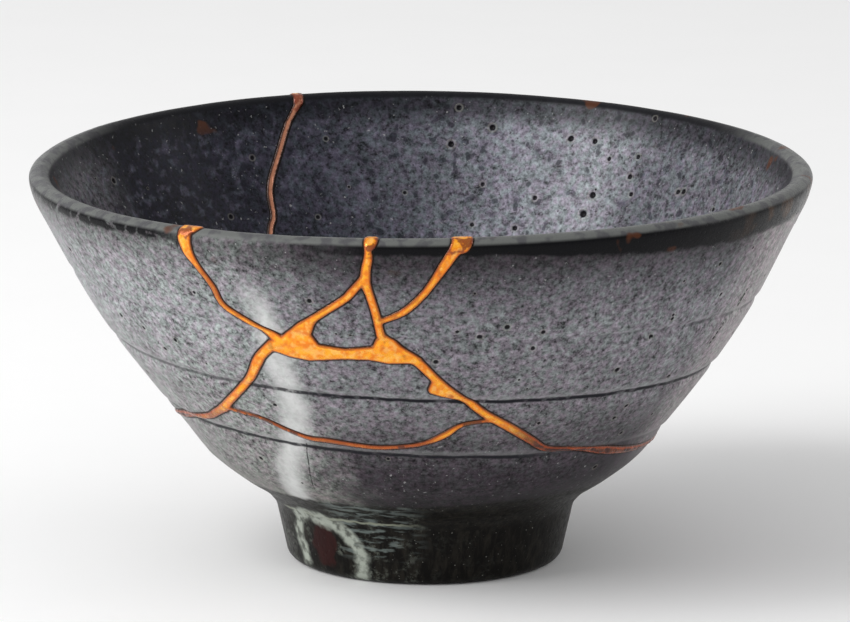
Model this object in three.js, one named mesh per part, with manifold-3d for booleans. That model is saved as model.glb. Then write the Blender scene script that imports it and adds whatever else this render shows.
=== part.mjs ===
// A wheel-thrown stoneware bowl that broke into seven sherds and was joined again with lacquer and
// gold. The bowl is turned as one body, the cracks are cut through its wall, and the gold fills them.
// Millimetres and degrees. +Z is up, the foot stands on z = 0, and the rim is centred on the Z axis.
// A bearing is measured from the front (-Y), and grows towards +X.
import * as THREE from 'three';
import Module from 'manifold-3d';
import { mergeVertices } from 'three/addons/utils/BufferGeometryUtils.js';

// ---- Driving dimensions ----
const RIM_RADIUS = 75;
const RIM_HEIGHT = 75;            // height of the lip's widest line
const LIP_WIDTH = 4.2;
const LIP_CROWN = 1.7;            // how far the rounded lip rises over its widest line
const WALL_AT_LIP = 4.3;
const WALL_GAIN = 2.2;            // how much thicker the wall is, this far below the lip's widest line
const GAIN_DEPTH = 60;
const FOOT_TOP = { radius: 28.6, height: 10.8 };
const FOOT_EDGE = { radius: 26.75, round: 2.3, chamfer: 0.3 };
const FOOT_RECESS = { radius: 20.4, depth: 6.2, dome: 0.8, flare: 1, shoulder: 0.6 };
const FLOOR_HEIGHT = 13.6;        // top of the floor, inside, at the centre

const FOOT_SHIFT = 1.05;          // the foot's centre lies this far towards +X of the rim's
const SHIFT_FROM = 25;            // below this height the body is true to the foot
const RIM_TILT = 0.27;            // the rim's rise towards +X
const RIM_WAVE = 0.53;            // the rim's two-lobed wave
const RIM_WAVE_BEARING = 16;
const WAVE_FROM = 20;             // below this height the tilt and the wave aren't felt

const THROWING_LINES = [29.9, 42.9, 55.8];   // heights of the potter's finger grooves
const GROOVE_DEPTH = 0.45;
const GROOVE_HALF_WIDTH = 1.7;
const GROOVE_DIP = 1.4;           // how far each groove rises at the left side and falls at the right
const DIP_ZONE = { from: 23, full: 30, fading: 60, gone: 70 };   // heights between which it does so

const GOLD_PROUD = 0.35;          // the repair stands this far above the glaze
const JOINT_GAP = 0.3;            // clearance between a sherd and the gold beside it
const CUTTER_REACH = 3;           // how far a crack's cutter runs past each face of the wall
const LIP_ZONE = 71;              // above this height the lip's own roundness shapes the gold
const LIP_START = 74.5;           // above this height the gold's strips run past both faces

const TURNS = 48;                 // facets round the bowl
const LIP_TURNS = [0, 40, 90, 140, 180];     // degrees over the lip, from its outer side to its inner
const CRACK_STEP = 7;             // longest step along a crack
const HALVINGS = 24;              // steps of the search for a height on the outline
const MERGE_DISTANCE = 1e-4;

// ---- Outline of the wall: radius and height on the outside, from the foot to the lip ----
const WALL_OUTLINE = new THREE.SplineCurve([
  [28.9, 11.4], [31.5, 14.2], [36.5, 17.5], [42.1, 22.1], [46.7, 28], [52.8, 35.8],
  [58.5, 43.6], [63.6, 51.5], [67.8, 59.3], [71.4, 66.5], [74, 71.7], [RIM_RADIUS, RIM_HEIGHT],
].map(([radius, height]) => new THREE.Vector2(radius, height)));
const WALL_ROWS = [14.2, 17.5, 22.1, 36.4, 49.3, 62.5, 68.5, 72.5];
const INNER_ROWS = [70, 61, 51, 41, 32, 24, 18];
const FLOOR_ROWS = [[20.5, 16], [8, 13.9]];

// ---- Cracks: [bearing, height on the outer wall, width of the gold], through the whole wall ----
const CRACKS = [
  // left rim seam, down to the left end of the broad band
  [[-35, 80, 4.6], [-35.4, 76, 3.4], [-35.2, 72.5, 2.6], [-34.2, 69.3, 1.6], [-32.7, 65.4, 1.5],
    [-32.3, 62.8, 1.5], [-31.3, 61, 1.5], [-27.5, 58.2, 1.5], [-23.6, 55.4, 2]],
  // middle rim seam, and on down the right side of the island chip
  [[-7, 80, 2.8], [-7, 76.4, 2.7], [-7.3, 75, 1.5], [-7.3, 73.4, 1.8], [-7.8, 70.5, 2], [-7.9, 68, 2],
    [-7.5, 65.6, 1.8], [-6.9, 62, 1.8], [-6.5, 58, 1.8], [-6, 54, 2.6]],
  // its branch, down the left side of the island chip
  [[-7.9, 69.6, 1.6], [-10.1, 66.4, 1.8], [-11.6, 64.6, 1.7], [-16.3, 60.8, 1.7], [-19, 58.4, 2.4],
    [-22.5, 55, 2.4]],
  // right rim seam
  [[6, 80, 4.2], [5.9, 76.4, 4], [4.9, 74.8, 2.5], [3.4, 71.8, 2.2], [1.8, 68.4, 1.7], [0.1, 65.5, 1.6],
    [-2.7, 62.3, 1.6], [-6.5, 60.2, 1.2]],
  // from the broad band down to the right, round the back low on the wall, and up to the left
  [[-3, 53.2, 2.4], [-0.9, 52, 2.2], [1.9, 48.5, 2], [4.7, 45.3, 2.3], [8.1, 42.9, 1.7],
    [12.3, 39.7, 2], [17.8, 36.4, 2.1], [23.2, 33.2, 1.9], [27.5, 31, 1.6], [34.8, 30, 1.5],
    [44.6, 28.3, 1.8], [55, 26.8, 1.7], [68.7, 25.6, 1.4], [90, 24.8, 1.4], [110, 26, 1.4],
    [135, 28.4, 1.4], [160, 26.4, 1.4], [180, 24.2, 1.4], [200, 26.3, 1.4], [215, 27.6, 1.4],
    [235, 27.4, 1.4], [250, 26.2, 1.4], [268, 28, 1.4], [285, 30.8, 1.4], [297, 32.4, 1.5],
    [307.9, 34.4, 1.6], [312.3, 36, 1.8], [316, 37.6, 2]],
  // left side of the lens sherd
  [[-44, 37.6, 2], [-37.4, 42, 1.8], [-32.4, 46, 1.9], [-29.3, 49.9, 2.3], [-27.9, 51.6, 2.2],
    [-25, 54.3, 2.3]],
  // under the lens sherd
  [[-43.5, 37.9, 1.2], [-39.6, 37.5, 1], [-34.5, 36.8, 1], [-29, 34.7, 1.1], [-24.8, 33.5, 1.3],
    [-20.3, 33.3, 1.4], [-11.7, 32.5, 1.3], [-5.2, 32.8, 1.2], [0.1, 33.8, 1.2], [4.1, 35.6, 1.7],
    [7.6, 37.9, 1.1], [13, 38.6, 1]],
  // back seam, from the rim down to the low crack
  [[200, 80, 2.4], [200.1, 76, 2.3], [201.3, 72.5, 1.6], [204.8, 65.4, 1.5], [208.5, 58.3, 1.6],
    [209.3, 53.1, 1.5], [210.8, 50.5, 1.5], [213.2, 44, 1.4], [212.8, 37, 1.4], [215, 31, 1.4],
    [215, 27.6, 1.4]],
];

// ---- Places where the gold fills a missing flake: outlines as [bearing, height] ----
const FILLED_FLAKES = [
  // the broad band under the island chip, with its two corners
  [[-25.6, 54.9], [-22.9, 56.2], [-19.3, 59.5], [-16.6, 59.6], [-17.8, 56.6], [-16.8, 55.1],
    [-12.5, 54.5], [-8, 55.1], [-7.4, 56.4], [-5.5, 57.6], [-3.3, 55.3], [-1.6, 54], [0, 52.6],
    [-1.8, 51.5], [-5.7, 51.4], [-8.7, 52.1], [-13.4, 52], [-19.1, 51.3], [-22.5, 51.8], [-25.4, 52.8]],
  // the flake below the crack that runs down to the right
  [[1.6, 48.2], [0.7, 45.9], [1, 45.1], [2.4, 44.5], [4.3, 43.9], [6.4, 43.4], [6.8, 44.4], [3, 47.4]],
];

// ---- Sherds: name, colour, and the bearing and height of a spot on each ----
const SHERDS = [
  ['left_wall_sherd', 0x8b8d90, 270, 50],
  ['front_rim_sherd', 0x7c7d83, -21, 66],
  ['island_chip', 0x7a7b80, -12, 58.5],
  ['notch_rim_sherd', 0x66666c, -3, 68],
  ['right_wall_sherd', 0x68676d, 90, 50],
  ['lens_sherd', 0x87888b, -15, 42],
  ['foot_sherd', 0x5f5c5e, 30, 20],
];

const toRadians = THREE.MathUtils.degToRad;

// Outline point at a height on the outer wall, and the direction out of the wall there.
function wallAt(height) {
  let low = 0;
  let high = 1;
  for (let step = 0; step < HALVINGS; step += 1) {
    const middle = (low + high) / 2;
    if (WALL_OUTLINE.getPoint(middle).y < height) low = middle;
    else high = middle;
  }
  const point = WALL_OUTLINE.getPoint(low);
  const along = WALL_OUTLINE.getTangent(low);
  return { point: new THREE.Vector2(point.x, height), out: new THREE.Vector2(along.y, -along.x) };
}

function wallThickness(height) {
  const depth = THREE.MathUtils.clamp((RIM_HEIGHT - height) / GAIN_DEPTH, 0, 1);
  return WALL_AT_LIP + WALL_GAIN * depth ** 1.5;
}

// A thrown bowl is never quite true: the foot sits off the rim's centre, and the rim tilts and waves.
function settle(point, bearing) {
  const rise = Math.max(0, (point.z - WAVE_FROM) / (RIM_HEIGHT - WAVE_FROM)) ** 2;
  const angle = toRadians(bearing);
  const wave = Math.cos(2 * (angle - toRadians(RIM_WAVE_BEARING)));
  point.x += FOOT_SHIFT * (1 - THREE.MathUtils.smoothstep(point.z, SHIFT_FROM, RIM_HEIGHT));
  point.z += rise * (RIM_TILT * Math.sin(angle) + RIM_WAVE * wave);
  return point;
}

function place(radius, bearing, height) {
  const angle = toRadians(bearing);
  return settle(new THREE.Vector3(radius * Math.sin(angle), -radius * Math.cos(angle), height), bearing);
}

// ---- The turned body: the whole bowl's outline, closed on the axis ----
function bowlOutline() {
  const { radius: recess, depth, dome, flare, shoulder } = FOOT_RECESS;
  const { radius: edge, round, chamfer } = FOOT_EDGE;
  const profile = [
    [0, depth + dome],
    [recess * shoulder, depth + dome * shoulder],
    [recess - flare, depth],
    [recess + flare * chamfer, flare],
    [recess + flare, 0],
    [edge - round, 0],
    [edge - round * chamfer, round * chamfer],
    [edge, round],
    [FOOT_TOP.radius, FOOT_TOP.height],
  ];
  const rows = WALL_ROWS.map((height) => ({ height, sink: 0 }));
  for (const line of THROWING_LINES) {
    rows.push({ height: line - GROOVE_HALF_WIDTH, sink: 0 });
    rows.push({ height: line, sink: GROOVE_DEPTH });
    rows.push({ height: line + GROOVE_HALF_WIDTH, sink: 0 });
  }
  rows.sort((a, b) => a.height - b.height);
  for (const { height, sink } of rows) {
    const { point, out } = wallAt(height);
    profile.push([point.x - out.x * sink, point.y - out.y * sink]);
  }
  const lipCentre = RIM_RADIUS - LIP_WIDTH / 2;
  for (const turn of LIP_TURNS) {
    const angle = toRadians(turn);
    profile.push([lipCentre + Math.cos(angle) * LIP_WIDTH / 2, RIM_HEIGHT + Math.sin(angle) * LIP_CROWN]);
  }
  for (const height of INNER_ROWS) {
    const { point, out } = wallAt(height);
    const wall = wallThickness(height);
    profile.push([point.x - out.x * wall, point.y - out.y * wall]);
  }
  profile.push(...FLOOR_ROWS, [0, FLOOR_HEIGHT]);
  return profile.map(([radius, height]) => new THREE.Vector2(radius, height));
}

// The same outline, grown by an amount on the lip and another on the wall.
function swell(profile, onLip, onWall) {
  return profile.map((point, index) => {
    if (point.x === 0) return point;
    const along = profile[index + 1].clone().sub(profile[index - 1]).normalize();
    const grow = point.y > LIP_ZONE ? onLip : onWall;
    return new THREE.Vector2(point.x + along.y * grow, point.y - along.x * grow);
  });
}

// The grooves fall a little from left to right, as the potter's finger climbed the turning wall.
function turnedBody(profile) {
  const geometry = new THREE.LatheGeometry(profile, TURNS);
  geometry.rotateX(Math.PI / 2);
  const position = geometry.attributes.position;
  const point = new THREE.Vector3();
  for (let index = 0; index < position.count; index += 1) {
    point.fromBufferAttribute(position, index);
    const bearing = THREE.MathUtils.radToDeg(Math.atan2(point.x, -point.y));
    const radius = Math.hypot(point.x, point.y);
    const onGrooves = THREE.MathUtils.smoothstep(point.z, DIP_ZONE.from, DIP_ZONE.full)
      * (1 - THREE.MathUtils.smoothstep(point.z, DIP_ZONE.fading, DIP_ZONE.gone));
    const fall = GROOVE_DIP * onGrooves * Math.sin(toRadians(bearing));
    const { out } = wallAt(point.z);
    const turned = place(radius + fall * out.y / out.x, bearing, point.z - fall);
    position.setXYZ(index, turned.x, turned.y, turned.z);
  }
  return solid(geometry);
}

// ---- Solids for cutting and joining ----
const wasm = await Module();
wasm.setup();

function solid(geometry) {
  geometry.deleteAttribute('normal');
  geometry.deleteAttribute('uv');
  const merged = mergeVertices(geometry, MERGE_DISTANCE);
  const corners = merged.index.array;
  const triangles = [];
  for (let index = 0; index < corners.length; index += 3) {
    const [a, b, c] = corners.slice(index, index + 3);
    if (a !== b && b !== c && c !== a) triangles.push(a, b, c);
  }
  return new wasm.Manifold(new wasm.Mesh({
    numProp: 3,
    vertProperties: new Float32Array(merged.attributes.position.array),
    triVerts: new Uint32Array(triangles),
  }));
}

// A line through the wall: its ends lie past the outer and the inner face by the reach.
function throughWall(bearing, height, reach) {
  const { point, out } = wallAt(Math.min(height, RIM_HEIGHT));
  const wall = wallThickness(height);
  const rise = Math.max(0, height - RIM_HEIGHT);
  const end = (proud) => place(point.x + out.x * proud, bearing, point.y + rise + out.y * proud);
  return { outer: end(reach), inner: end(-wall - reach), face: end(0) };
}

function prism(outerRing, innerRing, caps) {
  const count = outerRing.length;
  const positions = [...outerRing, ...innerRing].flatMap((point) => point.toArray());
  const index = [];
  for (let here = 0; here < count; here += 1) {
    const next = (here + 1) % count;
    index.push(here, here + count, next, next, here + count, next + count);
  }
  for (const [a, b, c] of caps) {
    index.push(a, b, c, a + count, c + count, b + count);
  }
  const geometry = new THREE.BufferGeometry();
  geometry.setAttribute('position', new THREE.Float32BufferAttribute(positions, 3));
  geometry.setIndex(index);
  return geometry;
}

// One crack as a ribbon that stands through the wall, widened by extra on each side and at its
// ends. Its faces lie at the given reach from the wall, and further out over the lip.
function crackRibbon(waypoints, extra, reach) {
  const curve = new THREE.CatmullRomCurve3(
    waypoints.map(([bearing, height, width]) => new THREE.Vector3(bearing, height, width)),
    false,
    'catmullrom',
  );
  const spans = waypoints.length - 1;
  const stations = [];
  for (let span = 0; span < spans; span += 1) {
    const [from, to] = [waypoints[span], waypoints[span + 1]]
      .map(([bearing, height]) => throughWall(bearing, height, 0).face);
    const steps = Math.max(1, Math.ceil(from.distanceTo(to) / CRACK_STEP));
    for (let step = 0; step < steps; step += 1) stations.push((span + step / steps) / spans);
  }
  stations.push(1);
  const centres = stations.map((station) => {
    const { x: bearing, y: height, z: width } = curve.getPoint(station);
    return { ...throughWall(bearing, height, height > LIP_START ? CUTTER_REACH : reach), width };
  });
  const left = { outer: [], inner: [] };
  const right = { outer: [], inner: [] };
  centres.forEach((centre, index) => {
    const before = centres[Math.max(index - 1, 0)];
    const after = centres[Math.min(index + 1, centres.length - 1)];
    const along = after.face.clone().sub(before.face).normalize();
    const through = centre.outer.clone().sub(centre.inner);
    const side = along.clone().cross(through).setLength(centre.width / 2 + extra);
    const isStart = index === 0;
    const isEnd = index === centres.length - 1;
    along.multiplyScalar(extra * (isEnd - isStart));
    for (const face of ['outer', 'inner']) {
      left[face].push(centre[face].clone().add(along).sub(side));
      right[face].push(centre[face].clone().add(along).add(side));
    }
  });
  const outerRing = [...right.outer, ...left.outer.reverse()];
  const innerRing = [...right.inner, ...left.inner.reverse()];
  const last = outerRing.length - 1;
  const caps = [];
  for (let index = 0; index < centres.length - 1; index += 1) {
    caps.push([index, index + 1, last - index], [index + 1, last - index - 1, last - index]);
  }
  return solid(prism(outerRing, innerRing, caps));
}

// A filled flake's outline, widened by extra, as a plug that stands through the wall.
function flakePlug(flake, extra) {
  const flat = flake.map(([bearing, height]) => new THREE.Vector2(bearing, height));
  if (THREE.ShapeUtils.isClockWise(flat)) flat.reverse();
  const lines = flat.map(({ x: bearing, y: height }) => throughWall(bearing, height, CUTTER_REACH));
  const edges = lines.map((line, index) => {
    const along = lines[(index + 1) % lines.length].face.clone().sub(line.face);
    return along.cross(line.outer.clone().sub(line.inner)).normalize();
  });
  const sides = edges.map((edge, index) => {
    const before = edges[(index + edges.length - 1) % edges.length];
    return edge.clone().add(before).multiplyScalar(extra / (1 + edge.dot(before)));
  });
  const outerRing = lines.map((line, index) => line.outer.add(sides[index]));
  const innerRing = lines.map((line, index) => line.inner.add(sides[index]));
  return solid(prism(outerRing, innerRing, THREE.ShapeUtils.triangulateShape(flat, [])));
}

const joined = (parts) => parts.reduce((whole, part) => whole.add(part));

function namedMesh(name, body, material) {
  const { vertProperties, triVerts } = body.getMesh();
  const geometry = new THREE.BufferGeometry();
  geometry.setAttribute('position', new THREE.Float32BufferAttribute(vertProperties, 3));
  geometry.setIndex(new THREE.Uint32BufferAttribute(triVerts, 1));
  geometry.computeVertexNormals();
  const mesh = new THREE.Mesh(geometry, material);
  mesh.name = name;
  return mesh;
}

// ---- The bowl breaks along its cracks, and the gold joins it ----
const outline = bowlOutline();
const opened = joined([
  ...CRACKS.map((crack) => crackRibbon(crack, JOINT_GAP, CUTTER_REACH)),
  ...FILLED_FLAKES.map((flake) => flakePlug(flake, JOINT_GAP)),
]);
const sherds = turnedBody(outline).subtract(opened).decompose();

const lines = joined(CRACKS.map((crack) => crackRibbon(crack, 0, GOLD_PROUD)))
  .intersect(turnedBody(swell(outline, GOLD_PROUD, CUTTER_REACH)));
const fills = joined(FILLED_FLAKES.map((flake) => flakePlug(flake, 0)))
  .intersect(turnedBody(swell(outline, GOLD_PROUD, GOLD_PROUD)));
const gold = lines.add(fills);

function nearestSherd(spot) {
  const distanceTo = (sherd) => {
    const { vertProperties } = sherd.getMesh();
    const corner = new THREE.Vector3();
    let nearest = Infinity;
    for (let index = 0; index < vertProperties.length; index += 3) {
      nearest = Math.min(nearest, corner.fromArray(vertProperties, index).distanceTo(spot));
    }
    return nearest;
  };
  return sherds.reduce((best, sherd) => (distanceTo(sherd) < distanceTo(best) ? sherd : best));
}

const kintsugiBowl = new THREE.Group();
for (const [name, color, bearing, height] of SHERDS) {
  const glaze = new THREE.MeshStandardMaterial({ color, roughness: 0.42, metalness: 0 });
  kintsugiBowl.add(namedMesh(name, nearestSherd(throughWall(bearing, height, 0).face), glaze));
}
const goldLeaf = new THREE.MeshStandardMaterial({ color: 0xe0952a, roughness: 0.34, metalness: 0.85 });
kintsugiBowl.add(namedMesh('gold_seam', gold, goldLeaf));

export default kintsugiBowl;
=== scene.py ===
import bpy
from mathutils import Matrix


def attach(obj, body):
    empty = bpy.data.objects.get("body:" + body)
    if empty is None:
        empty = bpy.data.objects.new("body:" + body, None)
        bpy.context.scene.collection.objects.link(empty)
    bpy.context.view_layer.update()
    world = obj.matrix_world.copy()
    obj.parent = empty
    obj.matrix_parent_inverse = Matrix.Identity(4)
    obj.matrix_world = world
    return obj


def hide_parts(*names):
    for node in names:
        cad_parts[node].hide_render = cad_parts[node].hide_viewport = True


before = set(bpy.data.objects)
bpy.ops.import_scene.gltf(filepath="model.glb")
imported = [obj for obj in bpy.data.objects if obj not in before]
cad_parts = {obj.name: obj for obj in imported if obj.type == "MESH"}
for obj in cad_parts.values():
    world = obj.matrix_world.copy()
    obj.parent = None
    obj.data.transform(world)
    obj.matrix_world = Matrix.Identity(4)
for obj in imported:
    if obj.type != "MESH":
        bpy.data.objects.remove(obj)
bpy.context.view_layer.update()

from math import cos, radians, sin, tau

import bpy
import numpy as np
from mathutils import Vector
from mathutils.geometry import delaunay_2d_cdt
from mathutils.kdtree import KDTree

# ---- The thrown body ----
# A stoneware bowl thrown on a wheel and trimmed to a foot ring. Its section runs from the middle of
# the foot's underside out and up to the lip, and down inside to the middle of the floor.
# Millimetres here; a bearing is measured from the front (-Y) and grows towards +X.
RIM_RADIUS, RIM_HEIGHT = 75, 75
LIP_WIDTH, LIP_CROWN = 4.2, 1.7
WALL_AT_LIP, WALL_GAIN, GAIN_DEPTH = 4.3, 2.2, 60
WALL_LINE = [(28.9, 11.4), (31.5, 14.2), (36.5, 17.5), (42.1, 22.1), (46.7, 28), (52.8, 35.8),
             (58.5, 43.6), (63.6, 51.5), (67.8, 59.3), (71.4, 66.5), (74, 71.7), (RIM_RADIUS, RIM_HEIGHT)]
FOOT_LINE = [(0, 7), (12, 6.7), (18.6, 6.25), (19.6, 5.6), (20.5, 1.4), (21.6, 0), (24.45, 0),
             (25.7, 0.3), (26.5, 1.2), (26.8, 2.5), (28.5, 10.2)]
FLOOR_LINE = [(20.5, 16), (8, 13.9), (0, 13.6)]
SECTION_STEP = 0.2
SPONGED = 0.45        # how far the potter's sponge rounded every edge
INNER_KNOTS = np.arange(70, 17, -2)


def smooth_line(knots, steps=24):
    """Points along a smooth line through the knots."""
    knots = np.asarray(knots, float)
    padded = np.vstack([knots[:1], knots, knots[-1:]])
    t = (np.arange(steps) / steps)[:, None]
    runs = [
        ((2 * b) + (c - a) * t + (2 * a - 5 * b + 4 * c - d) * t**2 + (3 * b - a - 3 * c + d) * t**3) / 2
        for a, b, c, d in zip(padded, padded[1:], padded[2:], padded[3:])
    ]
    return np.vstack([*runs, knots[-1:]])


def along(points):
    """Length along a line, at each of its points."""
    return np.concatenate([[0], np.cumsum(np.linalg.norm(np.diff(points, axis=0), axis=1))])


wall_line = smooth_line(WALL_LINE)
wall_out = np.gradient(wall_line, axis=0)[:, ::-1] * (1, -1)
wall_out /= np.linalg.norm(wall_out, axis=1)[:, None]


def wall_at(height):
    """Outside of the wall at these heights, and the direction out of it."""
    return (np.stack([np.interp(height, wall_line[:, 1], axis) for axis in wall_line.T], -1),
            np.stack([np.interp(height, wall_line[:, 1], axis) for axis in wall_out.T], -1))


def wall_thickness(height):
    return WALL_AT_LIP + WALL_GAIN * np.clip((RIM_HEIGHT - height) / GAIN_DEPTH, 0, 1) ** 1.5


over_lip = np.radians(np.arange(3, 180, 3))
lip_line = np.stack([RIM_RADIUS - LIP_WIDTH / 2 * (1 - np.cos(over_lip)),
                     RIM_HEIGHT + LIP_CROWN * np.sin(over_lip)], -1)
knots, out = wall_at(INNER_KNOTS)
inner_line = smooth_line([(RIM_RADIUS - LIP_WIDTH, RIM_HEIGHT),
                          *(knots - out * wall_thickness(INNER_KNOTS)[:, None]), *FLOOR_LINE])
foot_line = smooth_line(FOOT_LINE)
# Each point of the section knows the height on the outer wall that it answers to, for the cracks.
lip_length = along(lip_line)
CREST = RIM_HEIGHT + lip_length[-1] / 2
lip_heights = CREST - np.abs(lip_length - lip_length[-1] / 2)
inner_heights = np.interp(np.arange(len(inner_line)), 24 * np.arange(len(INNER_KNOTS) + 4),
                          [RIM_HEIGHT, *INNER_KNOTS, 4, 2, 0])
section = np.vstack([foot_line, wall_line, lip_line, inner_line])
heights = np.concatenate([np.linspace(0, 11, len(foot_line)), wall_line[:, 1], lip_heights, inner_heights])
length = along(section)
stations = np.arange(0, length[-1], SECTION_STEP)
section = np.stack([np.interp(stations, length, axis) for axis in section.T], -1)
heights = np.interp(stations, length, heights)
window = np.exp(-0.5 * (np.arange(-12, 13) * SECTION_STEP / SPONGED) ** 2)
window /= window.sum()
mirrored = np.vstack([section[12:0:-1] * (-1, 1), section, section[-2:-14:-1] * (-1, 1)])
section = np.stack([np.convolve(axis, window, "valid") for axis in mirrored.T], -1)
section[[0, -1], 0] = 0
section[:, 1] = np.maximum(section[:, 1], 0)     # the foot stands flat
stations = along(section)
crest = int(np.argmax(np.where(heights >= CREST - 0.2, section[:, 1], 0)))
heights[crest] = CREST


class Face:
    """One face of the wall, outside or inside, spread flat as a disc with the lip as its edge."""

    def __init__(self, first, last):
        step = 1 if last > first else -1
        rows = slice(first, last + step if last + step >= 0 else None, step)
        self.stations, self.radii, self.heights = stations[rows], section[rows, 0], heights[rows]
        steps = np.abs(np.diff(self.stations)) / np.maximum((self.radii[1:] + self.radii[:-1]) / 2, 0.05)
        self.spread = np.exp(np.concatenate([[0], np.cumsum(steps)]) - steps.sum()) * 1000
        self.spread[0] = 0

    def at_station(self, station, values):
        order = np.argsort(self.stations)
        return np.interp(station, self.stations[order], values[order])

    def at_height(self, height):
        """Station of the height on the outer wall that the cracks are given by."""
        return np.interp(height, self.heights, self.stations)

    def flat(self, bearing, station):
        spread = self.at_station(station, self.spread)
        return np.stack([spread * np.sin(bearing), -spread * np.cos(bearing)], -1)


outside, inside = Face(0, crest), Face(len(stations) - 1, crest)

# ---- The cracks and the filled flakes ----
# Where the bowl broke: each crack as [bearing, height on the outer wall, width of the repair], and
# the outlines, as [bearing, height], of two places where the lacquer fills a missing flake.
CRACKS = [
    [(-35, 80, 4.6), (-35.4, 76, 3.4), (-35.2, 72.5, 2.6), (-34.2, 69.3, 1.6), (-32.7, 65.4, 1.5),
     (-32.3, 62.8, 1.5), (-31.3, 61, 1.5), (-27.5, 58.2, 1.5), (-23.6, 55.4, 2)],
    [(-7, 80, 2.8), (-7, 76.4, 2.7), (-7.3, 75, 1.5), (-7.3, 73.4, 1.8), (-7.8, 70.5, 2), (-7.9, 68, 2),
     (-7.5, 65.6, 1.8), (-6.9, 62, 1.8), (-6.5, 58, 1.8), (-6, 54, 2.6)],
    [(-7.9, 69.6, 1.6), (-10.1, 66.4, 1.8), (-11.6, 64.6, 1.7), (-16.3, 60.8, 1.7), (-19, 58.4, 2.4),
     (-22.5, 55, 2.4)],
    [(6, 80, 4.2), (5.9, 76.4, 4), (4.9, 74.8, 2.5), (3.4, 71.8, 2.2), (1.8, 68.4, 1.7), (0.1, 65.5, 1.6),
     (-2.7, 62.3, 1.6), (-6.5, 60.2, 1.2)],
    [(-3, 53.2, 2.4), (-0.9, 52, 2.2), (1.9, 48.5, 2), (4.7, 45.3, 2.3), (8.1, 42.9, 1.7),
     (12.3, 39.7, 2), (17.8, 36.4, 2.1), (23.2, 33.2, 1.9), (27.5, 31, 1.6), (34.8, 30, 1.5),
     (44.6, 28.3, 1.8), (55, 26.8, 1.7), (68.7, 25.6, 1.4), (90, 24.8, 1.4), (110, 26, 1.4),
     (135, 28.4, 1.4), (160, 26.4, 1.4), (180, 24.2, 1.4), (200, 26.3, 1.4), (215, 27.6, 1.4),
     (235, 27.4, 1.4), (250, 26.2, 1.4), (268, 28, 1.4), (285, 30.8, 1.4), (297, 32.4, 1.5),
     (307.9, 34.4, 1.6), (312.3, 36, 1.8), (316, 37.6, 2)],
    [(-44, 37.6, 2), (-37.4, 42, 1.8), (-32.4, 46, 1.9), (-29.3, 49.9, 2.3), (-27.9, 51.6, 2.2),
     (-25, 54.3, 2.3)],
    [(-43.5, 37.9, 1.2), (-39.6, 37.5, 1), (-34.5, 36.8, 1), (-29, 34.7, 1.1), (-24.8, 33.5, 1.3),
     (-20.3, 33.3, 1.4), (-11.7, 32.5, 1.3), (-5.2, 32.8, 1.2), (0.1, 33.8, 1.2), (4.1, 35.6, 1.7),
     (7.6, 37.9, 1.1), (13, 38.6, 1)],
    [(200, 80, 2.4), (200.1, 76, 2.3), (201.3, 72.5, 1.6), (204.8, 65.4, 1.5), (208.5, 58.3, 1.6),
     (209.3, 53.1, 1.5), (210.8, 50.5, 1.5), (213.2, 44, 1.4), (212.8, 37, 1.4), (215, 31, 1.4),
     (215, 27.6, 1.4)],
]
FILLED_FLAKES = [
    [(-25.6, 54.9), (-22.9, 56.2), (-19.3, 59.5), (-16.6, 59.6), (-17.8, 56.6), (-16.8, 55.1),
     (-12.5, 54.5), (-8, 55.1), (-7.4, 56.4), (-5.5, 57.6), (-3.3, 55.3), (-1.6, 54), (0, 52.6),
     (-1.8, 51.5), (-5.7, 51.4), (-8.7, 52.1), (-13.4, 52), (-19.1, 51.3), (-22.5, 51.8), (-25.4, 52.8)],
    [(1.6, 48.2), (0.7, 45.9), (1, 45.1), (2.4, 44.5), (4.3, 43.9), (6.4, 43.4), (6.8, 44.4), (3, 47.4)],
]
LOWEST_CRACK = 19
GRID = 0.25             # spacing at which the cracks' edges are traced
FILLET = 0.16           # how softly two strips of lacquer run together
NEAR = 4.0              # distances past this aren't worked out

grid_stations = np.linspace(outside.at_height(LOWEST_CRACK), outside.at_height(CREST), 280)
grid_heights = outside.at_station(grid_stations, outside.heights)
grid_bearings = np.arange(0, 360, np.degrees(GRID / RIM_RADIUS))
grid_bearings = np.linspace(0, 360, len(grid_bearings), endpoint=False)


def on_wall(bearing, height):
    """Places on the outer wall, in space, for bearings in degrees."""
    station = outside.at_height(height)
    radius, up = (np.interp(station, stations, axis) for axis in section.T)
    turn = np.radians(bearing)
    return np.stack([radius * np.sin(turn), -radius * np.cos(turn), up], -1)


def near_line(line, points):
    """Distance of each point to a run of dots with widths, less half the width there."""
    gap = np.full(len(points), NEAR)
    for (a, wide_a), (b, wide_b) in zip(line, line[1:]):
        run = b - a
        share = np.clip((points - a) @ run / (run @ run), 0, 1)
        distance = np.linalg.norm(points - a - share[:, None] * run, axis=1)
        gap = np.minimum(gap, distance - (wide_a + (wide_b - wide_a) * share) / 2)
    return gap


def grid_around(dots):
    """Rows and columns of the grid that a crack comes near."""
    bearings, levels = dots[:, 0], dots[:, 1]
    margin = np.degrees(NEAR / 45)
    rows = np.flatnonzero((grid_heights > levels.min() - NEAR) & (grid_heights < levels.max() + NEAR))
    turn = (grid_bearings[None] - bearings.min() + margin) % 360
    columns = np.flatnonzero(turn[0] < bearings.max() - bearings.min() + 2 * margin)
    return np.ix_(rows, columns)


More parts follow.
